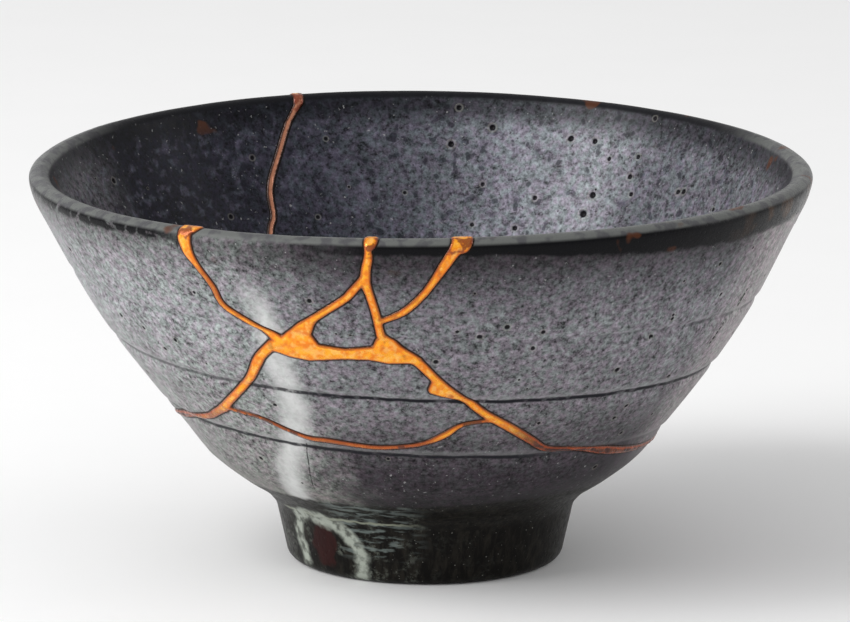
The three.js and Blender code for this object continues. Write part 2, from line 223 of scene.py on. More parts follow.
def lay_crack(gaps, crack):
    """Adds one crack to its grid of distances."""
    dots = smooth_line(crack, 5)
    spots = on_wall(dots[:, 0], np.minimum(dots[:, 1], CREST))
    for first in range(0, len(dots) - 1, 5):
        part = slice(first, first + 6)
        where = grid_around(dots[part])
        levels, bearings = np.broadcast_arrays(grid_heights[where[0]], grid_bearings[where[1]])
        points = on_wall(bearings.ravel(), levels.ravel())
        gap = near_line(list(zip(spots[part], dots[part, 2])), points).reshape(bearings.shape)
        gaps[where] = np.minimum(gaps[where], gap)


def inside_outline(outline, points):
    """Signed distance to a closed outline on a plane, below zero within it."""
    gap, within = np.full(len(points), NEAR), np.zeros(len(points), bool)
    for a, b in zip(outline, np.roll(outline, -1, axis=0)):
        run = b - a
        share = np.clip((points - a) @ run / (run @ run), 0, 1)
        gap = np.minimum(gap, np.linalg.norm(points - a - share[:, None] * run, axis=1))
        crosses = (a[1] > points[:, 1]) != (b[1] > points[:, 1])
        rise = np.where(run[1] == 0, 1, run[1])
        within ^= crosses & (points[:, 0] < a[0] + (points[:, 1] - a[1]) * run[0] / rise)
    return np.where(within, -gap, gap)


def lay_flake(gaps, flake):
    dots = np.array(flake, float)
    where = grid_around(dots)
    middle = dots.mean(axis=0)
    radius = float(outside.at_station(outside.at_height(middle[1]), outside.radii))

    def flatten(bearings, levels):
        turn = np.radians((bearings - middle[0] + 180) % 360 - 180)
        return np.stack([turn * radius, outside.at_height(levels) - outside.at_height(middle[1])], -1)

    levels, bearings = np.broadcast_arrays(grid_heights[where[0]], grid_bearings[where[1]])
    gap = inside_outline(flatten(dots[:, 0], dots[:, 1]), flatten(bearings.ravel(), levels.ravel()))
    gaps[where] = np.minimum(gaps[where], gap.reshape(bearings.shape))


# Soft union: each crack and flake has its own grid, and they are melted together.
melted = np.zeros((len(grid_heights), len(grid_bearings)))
for lay, shapes in ((lay_crack, CRACKS), (lay_flake, FILLED_FLAKES)):
    for shape in shapes:
        gaps = np.full(melted.shape, NEAR)
        lay(gaps, shape)
        melted += np.exp(-gaps / FILLET) - np.exp(-NEAR / FILLET)
gap_grid = -FILLET * np.log(melted + np.exp(-NEAR / FILLET))


def gap_at(bearing, height):
    """Distance from the nearest edge of the gold, below zero within the gold. Bearings in radians."""
    row = np.interp(height, grid_heights, np.arange(len(grid_heights)))
    column = (np.asarray(bearing) % tau) / tau * len(grid_bearings)
    r0, c0 = np.minimum(row.astype(int), len(grid_heights) - 2), column.astype(int)
    u, v = row - r0, column - c0
    c0, c1 = c0 % len(grid_bearings), (c0 + 1) % len(grid_bearings)
    gap = ((gap_grid[r0, c0] * (1 - v) + gap_grid[r0, c1] * v) * (1 - u)
           + (gap_grid[r0 + 1, c0] * (1 - v) + gap_grid[r0 + 1, c1] * v) * u)
    return np.where(height < LOWEST_CRACK, NEAR, gap)


def trace(level, spacing):
    """The lines where the distance has this level, as lists of (bearing, height) in radians and mm."""
    rows, columns = gap_grid.shape
    here = gap_grid < level
    east, north = np.roll(here, -1, axis=1), here[1:]
    flat_edge = here != east
    tall_edge = here[:-1] != north
    sides = np.stack([flat_edge[:-1], np.roll(tall_edge, -1, axis=1), flat_edge[1:], tall_edge])
    r, c = np.nonzero(sides.any(axis=0))
    offset = rows * columns
    ids = np.stack([r * columns + c, offset + r * columns + (c + 1) % columns,
                    (r + 1) * columns + c, offset + r * columns + c])
    joins = {}
    for side_ids, crossed in zip(ids.T.tolist(), sides[:, r, c].T.tolist()):
        ends = [edge for edge, cut in zip(side_ids, crossed) if cut]
        for a, b in zip(ends[::2], ends[1::2]):
            joins.setdefault(a, []).append(b)
            joins.setdefault(b, []).append(a)
    chains, left = [], dict(joins)
    starts = [edge for edge in joins if len(joins[edge]) == 1] + list(joins)
    for start in starts:
        if start not in left:
            continue
        chain, edge = [start], start
        del left[start]
        while True:
            following = [other for other in joins[edge] if other in left]
            if not following:
                break
            edge = following[0]
            del left[edge]
            chain.append(edge)
        if len(joins[start]) == 2:
            chain.append(start)
        chains.append(np.array(chain))
    lines = []
    for chain in chains:
        tall = chain >= offset
        r, c = np.divmod(chain - offset * tall, columns)
        first = gap_grid[r, c]
        second = np.where(tall, gap_grid[np.minimum(r + 1, rows - 1), c], gap_grid[r, (c + 1) % columns])
        share = (level - first) / np.where(second == first, 1, second - first)
        height = np.interp(r + share * tall, np.arange(rows), grid_heights)
        bearing = np.unwrap((c + share * ~tall) / columns * tau)
        length = along(on_wall(np.degrees(bearing), height))
        count = max(6, round(length[-1] / spacing))
        even = np.linspace(0, length[-1], count + 1)
        lines.append(np.stack([np.interp(even, length, bearing), np.interp(even, length, height)], -1))
    return lines


# ---- Kiln pits ----
# Pinholes and small craters where gas broke through the glaze: [bearing, height, radius] on the
# outside and on the inside. The far sides get seeded ones of the same kinds.
PITS_OUTSIDE = [
    (-16.9, 64.1, 0.55), (9.2, 57, 0.6), (13.5, 58.8, 0.6), (19.6, 57.3, 0.5), (5.6, 58.2, 0.4),
    (36.3, 47.3, 0.6), (41.1, 53.4, 0.55), (52, 43.2, 0.5), (43.8, 38.3, 0.5), (42.2, 35.9, 0.45),
    (23.3, 37.2, 0.4), (46.9, 24.3, 0.5), (-60.5, 54, 0.6), (-54.1, 52.8, 0.5), (-46.3, 51.8, 0.55),
    (44.4, 57.4, 0.4), (55.6, 59.4, 0.5), (51.3, 66.4, 0.45), (-13.6, 57.4, 0.3), (-11.3, 57.2, 0.3),
    (65.1, 55.3, 0.45), (65.3, 56.2, 0.55), (65.6, 57.1, 0.55), (65.8, 58, 0.4),
    (61.2, 48.4, 0.4), (61.5, 49.3, 0.5), (61.8, 50.2, 0.55), (62.1, 51.1, 0.5), (62.3, 52, 0.4),
]
PITS_INSIDE = [
    (154, 67.6, 0.7), (149.5, 67.6, 0.65), (147.4, 57.8, 0.8), (148.4, 54, 0.85), (139.4, 59, 0.55),
    (128.8, 61.2, 0.6), (161.8, 50, 0.6), (170.4, 50.2, 0.5), (174.9, 65.2, 0.7), (-149.5, 64.2, 0.5),
    (-163.6, 66.5, 0.45), (-141.5, 54, 0.5), (-116.2, 65.4, 0.6), (168, 68.5, 0.7), (173.8, 72.9, 0.6),
    (139.2, 75.3, 0.5),
]
draw = np.random.default_rng(7)


def scattered(count, first, last, low, high):
    """Seeded pits between two bearings and two heights."""
    return np.stack([draw.uniform(first, last, count), draw.uniform(low, high, count),
                     draw.uniform(0.25, 0.6, count)], -1)


pits = {
    outside: np.vstack([PITS_OUTSIDE, scattered(26, -75, 75, 22, 72), scattered(60, 80, 280, 22, 72)]),
    inside: np.vstack([PITS_INSIDE, scattered(30, 95, 265, 20, 70), scattered(40, -85, 85, 20, 70)]),
}
for face, places in pits.items():
    clear = gap_at(np.radians(places[:, 0]), places[:, 1]) > places[:, 2] + 0.5
    on_face = np.column_stack([np.radians(places[:, 0]), face.at_height(places[:, 1]), places[:, 2]])
    pits[face] = on_face[clear]

# ---- The seven sherds and the gold between them, still flat ----
# Both faces are spread as discs and cut into triangles along the cracks' edges, finely where the
# work shows and coarsely elsewhere. A sherd takes its triangles of both faces and the broken wall
# between them, so that each is a closed body.
EDGE_SPACING = 0.42
SHERDS = [("left_wall_sherd", 270, 50), ("front_rim_sherd", -21, 66), ("island_chip", -12, 58.5),
          ("notch_rim_sherd", -3, 68), ("right_wall_sherd", 90, 50), ("lens_sherd", -15, 42),
          ("foot_sherd", 30, 20)]

edge_lines = trace(0, EDGE_SPACING)
crossings = np.sort(np.concatenate([line[[0, -1], 0] % tau for line in edge_lines
                                    if line[0, 1] > CREST - 0.01]))
regular = np.linspace(0, tau, 900, endpoint=False)
apart = np.abs((regular[:, None] - crossings + np.pi) % tau - np.pi).min(axis=1)
rim = np.sort(np.concatenate([regular[apart > 0.35 * tau / 900], crossings]))
rim_count = len(rim)
# The rim's points come first and both faces share them; then the edges' own points.
edge_places, edge_pairs = [], []
for line in edge_lines:
    is_open = line[0, 1] > CREST - 0.01
    body = line[1:-1] if is_open else line[:-1]
    ids = list(range(rim_count + len(edge_places), rim_count + len(edge_places) + len(body)))
    edge_places += body.tolist()
    if is_open:
        ends = [int(np.abs((rim - end + np.pi) % tau - np.pi).argmin()) for end in line[[0, -1], 0] % tau]
        ids = [ends[0], *ids, ends[1]]
    else:
        ids.append(ids[0])
    edge_pairs += list(zip(ids, ids[1:]))
edge_places = np.array(edge_places)
rim_pairs = [(here, (here + 1) % rim_count) for here in range(rim_count)]


def lattice(face, spacing, low, high):
    """Staggered rows of points over a face, between two stations."""
    low, high = sorted((low, high))
    rows = np.arange(low + spacing / 2, high, spacing * 0.87)
    found = []
    for row, station in enumerate(rows):
        radius = float(face.at_station(station, face.radii))
        count = max(3, round(tau * radius / spacing))
        found.append(np.stack([(np.arange(count) + row % 2 / 2) * tau / count, np.full(count, station)], -1))
    return np.vstack(found)


def in_sector(bearing, first, last):
    return (np.degrees(bearing) - first) % 360 < last - first


def thinned(points, face, spacing):
    """The points less those that crowd one before them."""
    flat = face.flat(points[:, 0], points[:, 1])
    scale = face.at_station(points[:, 1], face.spread / np.maximum(face.radii, 0.5))
    tree = KDTree(len(flat))
    for index, (x, y) in enumerate(flat.tolist()):
        tree.insert((x, y, 0), index)
    tree.balance()
    kept = np.ones(len(flat), bool)
    for index, (x, y) in enumerate(flat.tolist()):
        if kept[index]:
            for _, other, _ in tree.find_range((x, y, 0), spacing * scale[index]):
                if other > index:
                    kept[other] = False
    return points[kept]


def points_on(face):
    """Every free point of a face: beside the cracks, over the gold, round the pits, and between."""
    crest_station, wall_end = face.at_height(CREST), face.at_height(LOWEST_CRACK)
    front, back = (-95, 95), (85, 275)
    shown = front if face is outside else back
    beside = []
    for level, spacing in ((-0.13, 0.36), (-0.32, 0.36), (0.2, 0.45)):
        for line in trace(level, spacing):
            beside.append(line[line[:, 1] < CREST - 0.12])
    beside = np.vstack(beside)
    beside = np.column_stack([beside[:, 0], face.at_height(beside[:, 1])])
    over_gold = lattice(face, 0.34, crest_station, wall_end)
    gap = gap_at(over_gold[:, 0], face.at_station(over_gold[:, 1], face.heights))
    over_gold = over_gold[gap < -0.48]
    places = pits[face]
    rings = []
    for share, count in ((0.0, 1), (0.4, 6), (0.72, 10), (1.0, 14), (1.35, 14)):
        turn = np.arange(count) * tau / count
        radius = face.at_station(places[:, 1], face.radii)[:, None]
        rings.append(np.stack([places[:, :1] + share * places[:, 2:] * np.sin(turn) / radius,
                               places[:, 1:2] + share * places[:, 2:] * np.cos(turn)], -1).reshape(-1, 2))
    rings = np.vstack(rings)
    fine = lattice(face, 0.6, crest_station, wall_end)
    coarse = lattice(face, 1.0, crest_station, wall_end)
    wall = np.vstack([fine[in_sector(fine[:, 0], *shown)],
                      coarse[~in_sector(coarse[:, 0], shown[0] + 0.6, shown[1] - 0.6)]])
    gap = gap_at(wall[:, 0], face.at_station(wall[:, 1], face.heights))
    wall = wall[gap > 0.5]
    low = lattice(face, 0.75, wall_end, face.stations[0])
    free = np.vstack([rings, beside, over_gold, wall, low])
    free = free[np.abs(free[:, 1] - crest_station) > 0.25]
    gap = np.abs(gap_at(free[:, 0], face.at_station(free[:, 1], face.heights)))
    return np.vstack([thinned(free[gap > 0.09], face, 0.2), [[0, face.stations[0]]]])


places = np.column_stack([rim, np.full(rim_count, stations[crest])])
triangles, triangle_gap = {}, {}
mirror_of = {index: index for index in range(rim_count)}
for face in (outside, inside):
    first_edge = len(places)
    edge_points = np.column_stack([edge_places[:, 0], face.at_height(edge_places[:, 1])])
    free = points_on(face)
    local = np.vstack([places[:rim_count], edge_points, free])
    to_whole = np.concatenate([np.arange(rim_count), first_edge + np.arange(len(local) - rim_count)])
    flat = face.flat(local[:, 0], local[:, 1])
    made = delaunay_2d_cdt([Vector(point) for point in flat.tolist()], edge_pairs + rim_pairs, [], 0, 1e-5)
    origin = np.array([source[0] if source else -1 for source in made[3]])
    assert (origin >= 0).all(), "two edges of the cracks cross"
    corners = origin[np.array(made[2])]
    a, b, c = flat[corners].transpose(1, 0, 2)
    turns = (b - a)[:, 0] * (c - a)[:, 1] - (b - a)[:, 1] * (c - a)[:, 0]
    wanted = 1 if face is inside else -1
    corners[turns * wanted < 0] = corners[turns * wanted < 0][:, ::-1]
    middle = flat[corners].mean(axis=1)
    bearing = np.arctan2(middle[:, 0], -middle[:, 1])
    station = np.interp(np.hypot(*middle.T), face.spread, face.stations)
    triangle_gap[face] = gap_at(bearing, face.at_station(station, face.heights))
    triangles[face] = to_whole[corners]
    if face is outside:
        outer_edge = first_edge
    else:
        for index in range(len(edge_places)):
            mirror_of[outer_edge + index] = first_edge + index
    places = np.vstack([places, local[rim_count:]])
mirror = np.arange(len(places))
mirror[list(mirror_of)] = list(mirror_of.values())


def regions(corners):
    """A number for each triangle: the same for triangles that join along an edge."""
    edges = np.sort(corners[:, [[0, 1], [1, 2], [2, 0]]].reshape(-1, 2), axis=1)
    owner = np.repeat(np.arange(len(corners)), 3)
    order = np.lexsort(edges.T[::-1])
    edges, owner = edges[order], owner[order]
    same = (edges[1:] == edges[:-1]).all(axis=1)
    left, right = owner[:-1][same], owner[1:][same]
    label = np.arange(len(corners))
    while True:
        low = np.minimum(label[left], label[right])
        new = label.copy()
        np.minimum.at(new, left, low)
        np.minimum.at(new, right, low)
        new = np.minimum(new, new[new])
        new = new[new]
        if (new == label).all():
            return label
        label = new


def nearest_label(face, corners, label, bearing, height):
    spot = face.flat(np.radians(bearing), face.at_height(height))
    flat = face.flat(places[:, 0], places[:, 1])[corners].mean(axis=1)
    return label[np.hypot(*(flat - spot).T).argmin()]


def broken_wall(corners):
    """Faces through the wall, under the open edges of an outside region."""
    edges = corners[:, [[0, 1], [1, 2], [2, 0]]].reshape(-1, 2)
    there = set(map(tuple, edges.tolist()))
    faces = []
    for a, b in edges.tolist():
        if (b, a) in there or (mirror[a] == a and mirror[b] == b):
            continue
        faces += [(b, a, mirror[a]), (b, mirror[a], mirror[b])]
    faces = np.array(faces)
    flat = (faces[:, 0] == faces[:, 1]) | (faces[:, 1] == faces[:, 2]) | (faces[:, 0] == faces[:, 2])
    return faces[~flat]


def flat_piece(name, corners, on_inside):
    """A flat mesh whose points know their bearing, station and distance from the gold."""
    used, index = np.unique(corners, return_inverse=True)
    index = index.reshape(corners.shape)
    mesh = bpy.data.meshes.new(name)
    mesh.vertices.add(len(used))
    mesh.loops.add(corners.size)
    mesh.polygons.add(len(corners))
    mesh.loops.foreach_set("vertex_index", index.ravel().astype(np.int32))
    mesh.polygons.foreach_set("loop_start", np.arange(0, corners.size, 3, dtype=np.int32))
    mesh.update(calc_edges=True)
    bearing, station = places[used].T
    face_heights = np.interp(station, stations, heights)
    gap = gap_at(bearing, face_heights)
    gap[(used >= rim_count) & (np.abs(gap) < 0.05)] = 0
    for key, values in (("bearing", bearing), ("station", station), ("gap", gap),
                        ("inside", on_inside[used])):
        mesh.attributes.new(key, "FLOAT", "POINT").data.foreach_set("value", values.astype(np.float32))
    piece = bpy.data.objects.new(name, mesh)
    bpy.context.scene.collection.objects.link(piece)
    return piece


on_inside = (places[:, 1] > stations[crest]).astype(float)
glazed = {face: corners[triangle_gap[face] > 0] for face, corners in triangles.items()}
labels = {face: regions(corners) for face, corners in glazed.items()}
pieces = {}
for name, bearing, height in SHERDS:
    parts = {}
    for face, corners in glazed.items():
        label = nearest_label(face, corners, labels[face], bearing, height)
        parts[face] = corners[labels[face] == label]
    pieces[name] = flat_piece(name, np.vstack([*parts.values(), broken_wall(parts[outside])]), on_inside)
gilded = {face: corners[triangle_gap[face] < 0] for face, corners in triangles.items()}
pieces["gold_seam"] = flat_piece(
    "gold_seam", np.vstack([*gilded.values(), broken_wall(gilded[outside])]), on_inside)


# ---- The wheel: it turns each flat piece into its part of the bowl ----
def link_node(tree, kind, *values, **settings):
    """A node with its settings, its inputs set or joined in order, and its first output given back."""
    node = tree.nodes.new(kind)
    for key, value in settings.items():
        setattr(node, key, value)
    for socket, value in zip([socket for socket in node.inputs if socket.enabled], values):
        if isinstance(value, bpy.types.NodeSocket):
            tree.links.new(value, socket)
        elif value is not None:
            socket.default_value = value
    return next((socket for socket in node.outputs if socket.enabled), node)


def math(tree, operation, *values):
    return link_node(tree, "ShaderNodeMath", *values, operation=operation)


def fade(tree, value, start, end, low=0.0, high=1.0):
    """A smooth step of the value, from low at the start to high at the end."""
    return link_node(tree, "ShaderNodeMapRange", value, start, end, low, high,
                     interpolation_type="SMOOTHSTEP")


def noise(tree, where, scale, detail=2.0, rough=0.5):
    return link_node(tree, "ShaderNodeTexNoise", where, scale, detail, rough)


def new_tree(name, kind, sockets):
    """A node group with named inputs, and its group input node."""
    tree = bpy.data.node_groups.new(name, kind)
    for label, socket, value in sockets:
        made = tree.interface.new_socket(label, in_out="INPUT", socket_type="NodeSocket" + socket)
        if value is not None:
            made.default_value = value
    return tree, tree.nodes.new("NodeGroupInput").outputs


def known(tree, name):
    return link_node(tree, "GeometryNodeInputNamedAttribute", name, data_type="FLOAT")


wheel, dial = new_tree("Thrown bowl", "GeometryNodeTree", [
    ("Geometry", "Geometry", None), ("Section", "Object", None), ("Rim height", "Float", 75),
    ("Foot shift", "Float", 1.05), ("Shift from", "Float", 25), ("Rim tilt", "Float", 0.27),
    ("Rim wave", "Float", 0.53), ("Wave bearing", "Float", radians(16)), ("Wave from", "Float", 20),
    ("Line pitch", "Float", 12.8), ("Line start", "Float", 43.05), ("Line depth", "Float", 0.42),
    ("Line width", "Float", 1.5), ("Unevenness", "Float", 0.16), ("Bead height", "Float", 0.35),
    ("Bead round", "Float", 0.75), ("Edge dip", "Float", 0.09), ("Edge roll", "Float", 0.32),
    ("Line from", "Float", 24), ("Line full", "Float", 29), ("Line fades", "Float", 56),
    ("Line ends", "Float", 66), ("True above foot", "Float", 3), ("Broad waves", "Float", 0.07),
    ("Close waves", "Float", 0.33), ("Close share", "Float", 0.3), ("Ripple waves", "Float", 0.55),
    ("Ripple height", "Float", 0.5), ("Metre", "Float", 0.001), ("Finish", "Material", None)])
wheel.interface.new_socket("Geometry", in_out="OUTPUT", socket_type="NodeSocketGeometry")
bearing, gap, within = known(wheel, "bearing"), known(wheel, "gap"), known(wheel, "inside")
outline = link_node(wheel, "GeometryNodeObjectInfo", dial["Section"]).node.outputs["Geometry"]
sample = link_node(wheel, "GeometryNodeSampleCurve", outline, None, known(wheel, "station"),
                   mode="LENGTH").node
radius, _, up = link_node(wheel, "ShaderNodeSeparateXYZ", sample.outputs["Position"]).node.outputs
tilt_r, _, tilt_z = link_node(wheel, "ShaderNodeSeparateXYZ", sample.outputs["Tangent"]).node.outputs
sine, cosine = math(wheel, "SINE", bearing), math(wheel, "COSINE", bearing)
spot = link_node(wheel, "ShaderNodeCombineXYZ", math(wheel, "MULTIPLY", radius, sine),
                 math(wheel, "MULTIPLY", math(wheel, "MULTIPLY", radius, cosine), -1.0), up)
# the spiral that the potter's finger left, from the foot up to the rim
turns = math(wheel, "DIVIDE", math(wheel, "SUBTRACT", up, dial["Line start"]), dial["Line pitch"])
turns = math(wheel, "ADD", turns, math(wheel, "DIVIDE", bearing, tau))
from_line = math(wheel, "MULTIPLY", math(wheel, "SUBTRACT", turns, math(wheel, "ROUND", turns)),
                 dial["Line pitch"])
groove = fade(wheel, math(wheel, "ABSOLUTE", from_line), 0.0, dial["Line width"], 1.0, 0.0)
strength = math(wheel, "MULTIPLY", fade(wheel, up, dial["Line from"], dial["Line full"]),
                fade(wheel, up, dial["Line ends"], dial["Line fades"]))
strength = math(wheel, "MULTIPLY", strength, math(wheel, "SUBTRACT", 1.0, within))
sink = math(wheel, "MULTIPLY", math(wheel, "MULTIPLY", groove, strength), dial["Line depth"])
# the hand's unevenness, broad and fine
broad = math(wheel, "SUBTRACT", noise(wheel, spot, dial["Broad waves"], 1.0), 0.5)
close = math(wheel, "SUBTRACT", noise(wheel, spot, dial["Close waves"], 2.0), 0.5)
uneven = math(wheel, "ADD", broad, math(wheel, "MULTIPLY", close, dial["Close share"]))
uneven = math(wheel, "MULTIPLY", uneven, fade(wheel, up, 0.0, dial["True above foot"]))
relief = math(wheel, "SUBTRACT", math(wheel, "MULTIPLY", uneven, dial["Unevenness"]), sink)
# the glaze's edge rolls down into the crack; the gold rises from it as a rounded bead
rolled = fade(wheel, gap, 0.0, dial["Edge roll"], 1.0, 0.0)
depth = math(wheel, "MAXIMUM", math(wheel, "MULTIPLY", gap, -1.0), 0.0)
share = math(wheel, "MINIMUM", math(wheel, "DIVIDE", depth, dial["Bead round"]), 1.0)
dome = math(wheel, "SQRT", math(wheel, "MULTIPLY", share, math(wheel, "SUBTRACT", 2.0, share)))
ripple = math(wheel, "SUBTRACT", noise(wheel, spot, dial["Ripple waves"], 2.0), 0.5)
ripple = math(wheel, "MULTIPLY", ripple, dial["Ripple height"])
bead = math(wheel, "MULTIPLY", dome, math(wheel, "ADD", dial["Bead height"],
                                            math(wheel, "MULTIPLY", ripple, share)))
relief = math(wheel, "ADD", relief, math(wheel, "SUBTRACT", bead,
                                         math(wheel, "MULTIPLY", rolled, dial["Edge dip"])))
radius = math(wheel, "ADD", radius, math(wheel, "MULTIPLY", tilt_z, relief))
risen = math(wheel, "SUBTRACT", up, math(wheel, "MULTIPLY", tilt_r, relief))
# a thrown bowl is never quite true: the foot is off the rim's centre, and the rim tilts and waves
aside = math(wheel, "MULTIPLY", dial["Foot shift"],
             fade(wheel, up, dial["Shift from"], dial["Rim height"], 1.0, 0.0))
rise = math(wheel, "DIVIDE", math(wheel, "MAXIMUM", math(wheel, "SUBTRACT", up, dial["Wave from"]), 0.0),
            math(wheel, "SUBTRACT", dial["Rim height"], dial["Wave from"]))
from_wave = math(wheel, "SUBTRACT", bearing, dial["Wave bearing"])
wave = math(wheel, "COSINE", math(wheel, "MULTIPLY", from_wave, 2.0))
lift = math(wheel, "ADD", math(wheel, "MULTIPLY", dial["Rim tilt"], sine),
            math(wheel, "MULTIPLY", dial["Rim wave"], wave))
risen = math(wheel, "ADD", risen, math(wheel, "MULTIPLY", math(wheel, "MULTIPLY", rise, rise), lift))
placed = link_node(wheel, "ShaderNodeCombineXYZ",
                   math(wheel, "ADD", math(wheel, "MULTIPLY", radius, sine), aside),
                   math(wheel, "MULTIPLY", math(wheel, "MULTIPLY", radius, cosine), -1.0), risen)
placed = link_node(wheel, "ShaderNodeVectorMath", placed, dial["Metre"], operation="SCALE")
thrown = link_node(wheel, "GeometryNodeSetPosition", dial["Geometry"], True, placed)
for name, value in (("height", up), ("line", from_line), ("line_strength", strength)):
    thrown = link_node(wheel, "GeometryNodeStoreNamedAttribute", thrown, True, name, value,
                       data_type="FLOAT", domain="POINT")
thrown = link_node(wheel, "GeometryNodeRealizeInstances", thrown)
thrown = link_node(wheel, "GeometryNodeSetMaterial", thrown, True, dial["Finish"])
link_node(wheel, "NodeGroupOutput", thrown)

section_line = bpy.data.curves.new("section", "CURVE")
section_line.dimensions = "3D"
spline = section_line.splines.new("POLY")
spline.points.add(len(section) - 1)
spline.points.foreach_set("co", np.column_stack(
    [section[:, 0], np.zeros(len(section)), section[:, 1], np.ones(len(section))]).ravel())
section_object = bpy.data.objects.new("section", section_line)
bpy.context.scene.collection.objects.link(section_object)


def put_on(piece, tree, **settings):
    """The tree as a modifier of the piece, with its inputs set by their identifiers."""
    modifier = piece.modifiers.new(tree.name, "NODES")
    modifier.node_group = tree
    for item in tree.interface.items_tree:
        key = item.name.lower().replace(" ", "_")
        if item.item_type == "SOCKET" and item.in_out == "INPUT" and key in settings:
            modifier[item.identifier] = settings[key]
    return modifier


# ---- The pits, sunk into the glaze ----
pit_rows = [(*place, float(face is inside)) for face, found in pits.items() for place in found]
pit_mesh = bpy.data.meshes.new("pits")
pit_mesh.vertices.add(len(pit_rows))
for key, values in zip(("bearing", "station", "pit_radius", "inside"), np.array(pit_rows, np.float32).T):
    pit_mesh.attributes.new(key, "FLOAT", "POINT").data.foreach_set("value", np.ascontiguousarray(values))
far_from_gold = np.full(len(pit_rows), NEAR, np.float32)
pit_mesh.attributes.new("gap", "FLOAT", "POINT").data.foreach_set("value", far_from_gold)
pit_object = bpy.data.objects.new("pits", pit_mesh)
bpy.context.scene.collection.objects.link(pit_object)
put_on(pit_object, wheel, section=section_object)

kiln, dial = new_tree("Kiln pits", "GeometryNodeTree", [
    ("Geometry", "Geometry", None), ("Pits", "Object", None), ("Depth", "Float", 0.55),
    ("Lip", "Float", 0.07), ("Metre", "Float", 0.001), ("Finish", "Material", None)])
kiln.interface.new_socket("Geometry", in_out="OUTPUT", socket_type="NodeSocketGeometry")
pit_cloud = link_node(kiln, "GeometryNodeObjectInfo", dial["Pits"]).node.outputs["Geometry"]
nearest = link_node(kiln, "GeometryNodeSampleNearest", pit_cloud)
centre = link_node(kiln, "GeometryNodeSampleIndex", pit_cloud, link_node(kiln, "GeometryNodeInputPosition"),
                   nearest, data_type="FLOAT_VECTOR")
wide = link_node(kiln, "GeometryNodeSampleIndex", pit_cloud, known(kiln, "pit_radius"), nearest,
                 data_type="FLOAT")
here = link_node(kiln, "GeometryNodeInputPosition")
away = link_node(kiln, "ShaderNodeVectorMath", here, centre, operation="DISTANCE").node.outputs["Value"]
share = math(kiln, "MINIMUM", math(kiln, "DIVIDE", away, math(kiln, "MULTIPLY", wide, dial["Metre"])), 4.0)
hollow = math(kiln, "MULTIPLY", fade(kiln, share, 0.2, 1.05, 1.0, 0.0),
              math(kiln, "MULTIPLY", wide, dial["Depth"]))
lip = math(kiln, "MULTIPLY", fade(kiln, share, 0.8, 1.15), fade(kiln, share, 1.15, 1.8, 1.0, 0.0))
lip = math(kiln, "MULTIPLY", lip, dial["Lip"])
move = math(kiln, "MULTIPLY", math(kiln, "SUBTRACT", lip, hollow), dial["Metre"])
offset = link_node(kiln, "ShaderNodeVectorMath", link_node(kiln, "GeometryNodeInputNormal"), move,
                   operation="SCALE")
pitted = link_node(kiln, "GeometryNodeSetPosition", dial["Geometry"], True, None, offset)
pitted = link_node(kiln, "GeometryNodeStoreNamedAttribute", pitted, True, "pit", share,
                   data_type="FLOAT", domain="POINT")
pitted = link_node(kiln, "GeometryNodeRealizeInstances", pitted)
pitted = link_node(kiln, "GeometryNodeSetMaterial", pitted, True, dial["Finish"])
link_node(kiln, "NodeGroupOutput", pitted)

# ---- The glaze, used on all seven sherds ----
# Ash glaze over iron-bearing clay: grey, thin and dark where it broke over edges, with a band of
# iron at the lip, the potter's spiral drawn dark as painted shade, kiln pits, and a paler run down the
# front that is partly a painted reflection. Its tones also carry painted light and shade: lit on the
# left, shaded on the right, low on the wall and inside on the left, with a painted rim light at the
# right edge, a painted reflection inside and a painted highlight on the lip's crest.
def attribute(tree, name):
    return link_node(tree, "ShaderNodeAttribute", attribute_name=name).node.outputs["Fac"]


def times(tree, *values):
    """The product of several values."""
    product = values[0]
    for value in values[1:]:
        product = math(tree, "MULTIPLY", product, value)
    return product


def blend(tree, share, low, high, **settings):
    """One colour laid over another by a share."""
    low, high = [(*colour, 1.0) if isinstance(colour, tuple) else colour for colour in (low, high)]
    return link_node(tree, "ShaderNodeMix", share, low, high, data_type="RGBA", **settings)


def ramp(tree, value, stops):
    """A colour that changes with a value, from stops of (value, colour)."""
    node = link_node(tree, "ShaderNodeValToRGB", value).node
    dots = node.color_ramp.elements
    while len(dots) < len(stops):
        dots.new(0.5)
    for dot, (place, colour) in zip(dots, stops):
        dot.position, dot.color = place, (*colour, 1.0)
    return node.outputs["Color"]


def band(tree, value, middle, half, soft):
    """1 within half of the middle, falling softly to 0 past it."""
    away = math(tree, "ABSOLUTE", math(tree, "SUBTRACT", value, middle))
    return fade(tree, away, half, half + soft, 1.0, 0.0)


def stretched(tree, where, along_x, along_y, along_z):
    return link_node(tree, "ShaderNodeVectorMath", where, (along_x, along_y, along_z), operation="MULTIPLY")


def patchy(tree, where, scale, start, end, detail=2.0):
    """Patches of a noise: 0 below the start, 1 above the end."""
    return fade(tree, noise(tree, where, scale, detail), start, end)


def outputs_of(tree, **results):
    """The group's outputs, named, each with its result joined on."""
    kinds = {"RGBA": "NodeSocketColor", "VALUE": "NodeSocketFloat"}
    for label, result in results.items():
        tree.interface.new_socket(label, in_out="OUTPUT", socket_type=kinds[result.type])
    link_node(tree, "NodeGroupOutput", *results.values())
